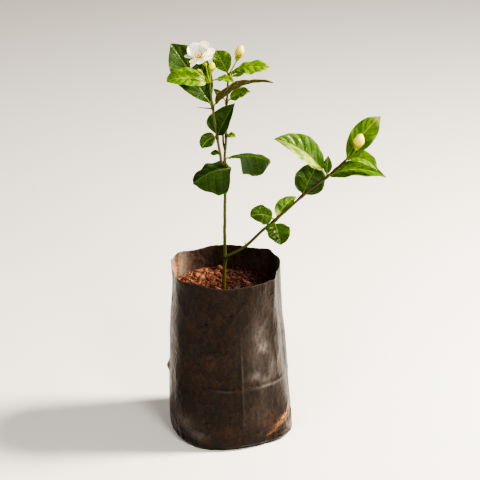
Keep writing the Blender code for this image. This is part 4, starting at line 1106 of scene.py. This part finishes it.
def film_material():
    look = Surface("black_film", Specular_IOR_Level=0.19, Specular_Tint=(1.0, 0.88, 0.80, 1.0))
    spot = look.place()
    broad = look.noise(spot, 0.045, 4, 0.6, 0.4)
    hung = look.noise(look.place((1, 1, 0.6)), 0.17, 5, 0.66, 0.8)
    fine = look.noise(spot, 0.75, 6, 0.72)
    grains = look.noise(spot, 2.6, 3, 0.6)
    colour = look.mix(broad, (0.0040, 0.0034, 0.0034), (0.0085, 0.0060, 0.0052))
    dusty = look.step(hung, 0.36, 0.70) * look.step(fine, 0.38, 0.62, 0.1, 1.0) * look.value("dust")
    colour = look.mix(dusty, colour, (0.033, 0.0170, 0.0105))
    rust = (look.value("rust") + (broad - 0.5) * 0.8) * look.step(hung, 0.30, 0.64)
    rust = (rust * look.step(fine, 0.30, 0.66, 0.1, 0.8)).clamped()
    colour = look.mix(rust, colour, (0.070, 0.029, 0.014))
    worn = look.noise(look.place((1, 1, 0.5)), 0.34, 6, 0.78, 0.3)
    # Pale grey patches: scuffs and dust, and painted sheen and light standing for reflections and lit
    # places on the film.
    scuff = look.value("scuff") * look.step(worn, 0.25, 0.72, 0.25, 1.0)
    colour = look.mix((scuff * 0.75).clamped(), colour, (0.23, 0.20, 0.175))
    streaks = look.noise(look.place((0.4, 0.4, 2.4), look.vector("drawn")), 0.5, 4, 0.7)
    scratchy = look.step(fine, 0.30, 0.60) * look.step(streaks, 0.38, 0.56, 0.1, 1.0)
    colour = look.mix((look.value("ochre") * scratchy).clamped(), colour, (0.52, 0.25, 0.11))
    dust = look.step(grains, 0.60, 0.72) * look.step(hung, 0.45, 0.7, 0.1, 0.6)
    colour = look.mix(dust * 0.4, colour, (0.14, 0.085, 0.055))
    scratches = look.noise(look.place((2.4, 2.4, 0.10)), 1.0, 3, 0.6)
    lines = look.step(scratches, 0.64, 0.72) * look.step(broad, 0.42, 0.6, 0.0, 0.25)
    colour = look.mix(lines, colour, (0.09, 0.072, 0.06))
    rough = (look.step(hung, 0.25, 0.75, 0.24, 0.42) + (rust + scuff) * 0.16).clamped()
    wrinkles = None
    for stretch, scale, distance in (((1, 1, 0.8), 0.075, 1.6), ((1, 1, 0.5), 0.19, 0.5)):
        swirl = look.noise(look.place(stretch), scale, 2, 0.5, 0.9)
        ridge = look.step(abs(swirl - 0.5), 0.0, 0.12, 1.0, 0.0) * look.step(broad, 0.40, 0.60, 0.3, 1.0)
        wrinkles = look.bump(ridge, distance, 0.17, wrinkles)
    relief = fine * 0.35 + grains * 0.10 + hung
    return look.finish(colour, rough, look.bump(relief, 0.22, 0.4, wrinkles))


def soil_material():
    look = Surface("red_soil", Specular_IOR_Level=0.2)
    spot = look.place()
    broad = look.noise(spot, 0.10, 3)
    fine = look.noise(spot, 1.1, 6, 0.75)
    colour = look.ramp(look.value("shade") * 0.45 + fine * 0.6,
                       (0.15, (0.010, 0.003, 0.002)), (0.42, (0.046, 0.0145, 0.0075)),
                       (0.68, (0.158, 0.062, 0.034)), (1.0, (0.42, 0.215, 0.13)))
    colour = look.mix(look.step(broad, 0.48, 0.70, 0.0, 0.7), colour, (0.030, 0.009, 0.005))
    return look.finish(colour, look.step(fine, 0.2, 0.8, 0.82, 0.98), look.bump(fine, 0.5, 0.9))


def flower_material(name, petal, foot, heart, depth):
    look = Surface(name, Subsurface_Weight=0.6, Subsurface_Radius=(1.2, 0.9, 0.45),
                   Subsurface_Scale=depth * MM, Specular_IOR_Level=0.3)
    fine = look.noise(look.place(), 0.9, 4)
    colour = look.mix(look.step(look.value("along"), 0.1, 0.85), foot, petal)
    colour = look.mix(look.value("heart") * 0.85, colour, heart)
    colour = look.mix(look.value("seam") * 0.6, colour, foot)
    colour = look.mix(look.step(fine, 0.5, 0.8, 0.0, 0.14), colour, foot)
    return look.finish(colour, look.step(fine, 0.2, 0.8, 0.44, 0.58), look.bump(fine, 0.08, 0.5))


# The plant

def grow_main_stem(stalks, blades):
    add_stem(stalks, TRUNK, 1.75, 1.15, nodes=(159, 243.5, 250), wood=(0.55, 0.30), seed=1.0,
             round_tip=True)
    add_leaves(blades, stalks, TRUNK, MAIN_LEAVES, 2.0)
    for height, heading, length in ((158.2, 178, 3.4), (160.6, 196, 2.2), (157.6, -60, 2.6),
                                    (161.5, 60, 2.4)):
        add_stub(stalks, TRUNK, height, heading, 28, length, (0.75, 0.6, 0.5, 0.3), bark=0.85, seed=height)


def grow_left_shoot(stalks, blades):
    add_stem(stalks, LEFT_SOCKET + LEFT_SHOOT, 1.15, 0.9, nodes=(269.5, 297, 318.5), seed=4.0)
    add_leaves(blades, stalks, LEFT_SHOOT, LEFT_LEAVES, 11.0)
    for flower, calyx in ((OPEN_BLOOM, (1.6, CALYX_LENGTH, 7, 5.5, 0.9)),
                          (YOUNG_BUD, (1.5, CALYX_LENGTH, 6, 3.5, 1.3)),
                          (SMALL_BUD, (1.1, CALYX_LENGTH, 5, 3.4, 0.9))):
        add_flower_stalk(stalks, LEFT_SHOOT, flower, 0.55, 0.6, calyx, bark=0.15, fresh=0.75)
    add_twig(stalks, DRY_STUB, (0.55, 0.42, 0.36, 0.15), bark=1.0, steps=20)


def grow_right_shoot(stalks, blades):
    add_stem(stalks, RIGHT_SOCKET + RIGHT_SHOOT, 1.05, 0.85, nodes=(268, 296, 319), seed=6.0)
    add_stem(stalks, RIGHT_SOCKET + MIDDLE_SHOOT, 0.95, 0.6, wood=(0.9, 0.6), seed=8.0, round_tip=True)
    add_leaves(blades, stalks, RIGHT_SHOOT, RIGHT_LEAVES, 31.0)
    add_flower_stalk(stalks, RIGHT_SHOOT, UPPER_BUD, 0.6, -0.5, (2.0, CALYX_LENGTH, 7, 3.2, 1.4))


def grow_side_branch(stalks, blades):
    add_stem(stalks, SIDE_BRANCH_SOCKET + SIDE_BRANCH, 1.3, 0.9, nodes=(196, 218.5, 236),
             wood=(0.25, 0.65), seed=9.0)
    add_leaves(blades, stalks, SIDE_BRANCH, SIDE_LEAVES, 51.0)
    add_flower_stalk(stalks, SIDE_BRANCH, SIDE_BUD, 0.5, -0.8, (2.0, 2.4, 6, 3.0, 1.7), foot=0.65)
    for height, heading in ((171.5, 110), (172.5, 10), (251.5, 250)):
        add_stub(stalks, SIDE_BRANCH, height, heading, 25, 4.5, (0.6, 0.48, 0.4, 0.2), bark=0.35, fresh=0.3)


def make_greenery():
    """The bark and the leaves of each leafy stem, as two pieces that stand for its node."""
    bark, green = stem_material(), leaf_material()
    for grow, stem, leaves, node in (
            (grow_main_stem, "main_stem", "main_leaves", "main_leafy_stem"),
            (grow_left_shoot, "left_shoot", "left_leaves", "left_leafy_shoot"),
            (grow_right_shoot, "right_shoot", "right_leaves", "right_leafy_shoot"),
            (grow_side_branch, "side_branch", "side_leaves", "side_leafy_branch")):
        stalks = Shape("grain", "bark", "fresh")
        blades = Shape("blade", "phase", "across", "edge", "tone", "pale", "under", "ruddy", "matte")
        grow(stalks, blades)
        make_piece(stem, stalks, bark, node, "leaf_green")
        make_piece(leaves, blades, green, node, "leaf_green")


def make_flowers():
    materials = {slot: flower_material(slot, *colours) for slot, colours in FLOWER_COLOURS.items()}
    bloom = Shape("along", "heart", "seam")
    add_bloom(bloom)
    make_piece("bloom_petals", bloom, materials["petal_white"], "open_bloom", "petal_white", sharp=70)
    for name, ((base, axis), length, width, cup, slot) in BUDS.items():
        bud = Shape("along", "heart", "seam")
        add_bud(bud, base + axis * (cup + SEAT_GAP), axis, length, width)
        make_piece(name + "_petals", bud, materials[slot], name, slot, sharp=70)


# The studio

def make_camera():
    rise = math.radians(CAMERA_RISE)
    back = np.array((0.0, -math.cos(rise), math.sin(rise)))
    camera = show("camera", bpy.data.cameras.new("camera"))
    camera.location = (CAMERA_TARGET + back * CAMERA_DISTANCE) * MM
    camera.rotation_euler = (math.pi / 2 - rise, 0, 0)
    camera.data.sensor_width = SENSOR_WIDTH
    camera.data.lens = SENSOR_WIDTH * CAMERA_DISTANCE / (PHOTO_PIXELS * PIXEL_SIZE)
    bpy.context.scene.camera = camera
    bpy.context.scene.view_settings.look = "AgX - High Contrast"


def make_lamp(name, place, size, power, colour):
    lamp = show(name, bpy.data.lights.new(name, "AREA"))
    lamp.location = place
    lamp.data.shape = "DISK"
    lamp.data.size = size
    lamp.data.energy = power
    lamp.data.color = colour
    away = Vector(LAMP_TARGET) - lamp.location
    lamp.rotation_euler = away.to_track_quat("-Z", "Y").to_euler()


def make_studio():
    for name, settings in LAMPS.items():
        make_lamp(name, *settings)
    world = bpy.data.worlds.new("studio")
    bpy.context.scene.world = world
    world.use_nodes = True
    background = world.node_tree.nodes["Background"]
    background.inputs["Color"].default_value = SKY_COLOUR
    background.inputs["Strength"].default_value = SKY_STRENGTH
    mesh = bpy.data.meshes.new("floor")
    corners = [(x * FLOOR_REACH, y * FLOOR_REACH, 0) for x, y in ((-1, -1), (1, -1), (1, 1), (-1, 1))]
    mesh.from_pydata(corners, [], [(0, 1, 2, 3)])
    look = Surface("studio_floor", Roughness=0.9, Specular_IOR_Level=0.1)
    mesh.materials.append(look.finish((0.80, 0.77, 0.73, 1.0)))
    floor = show("floor", mesh)
    floor.location.z = -FLOOR_DROP


make_camera()
make_studio()
make_bag(film_material())
make_soil(soil_material())
make_greenery()
make_flowers()
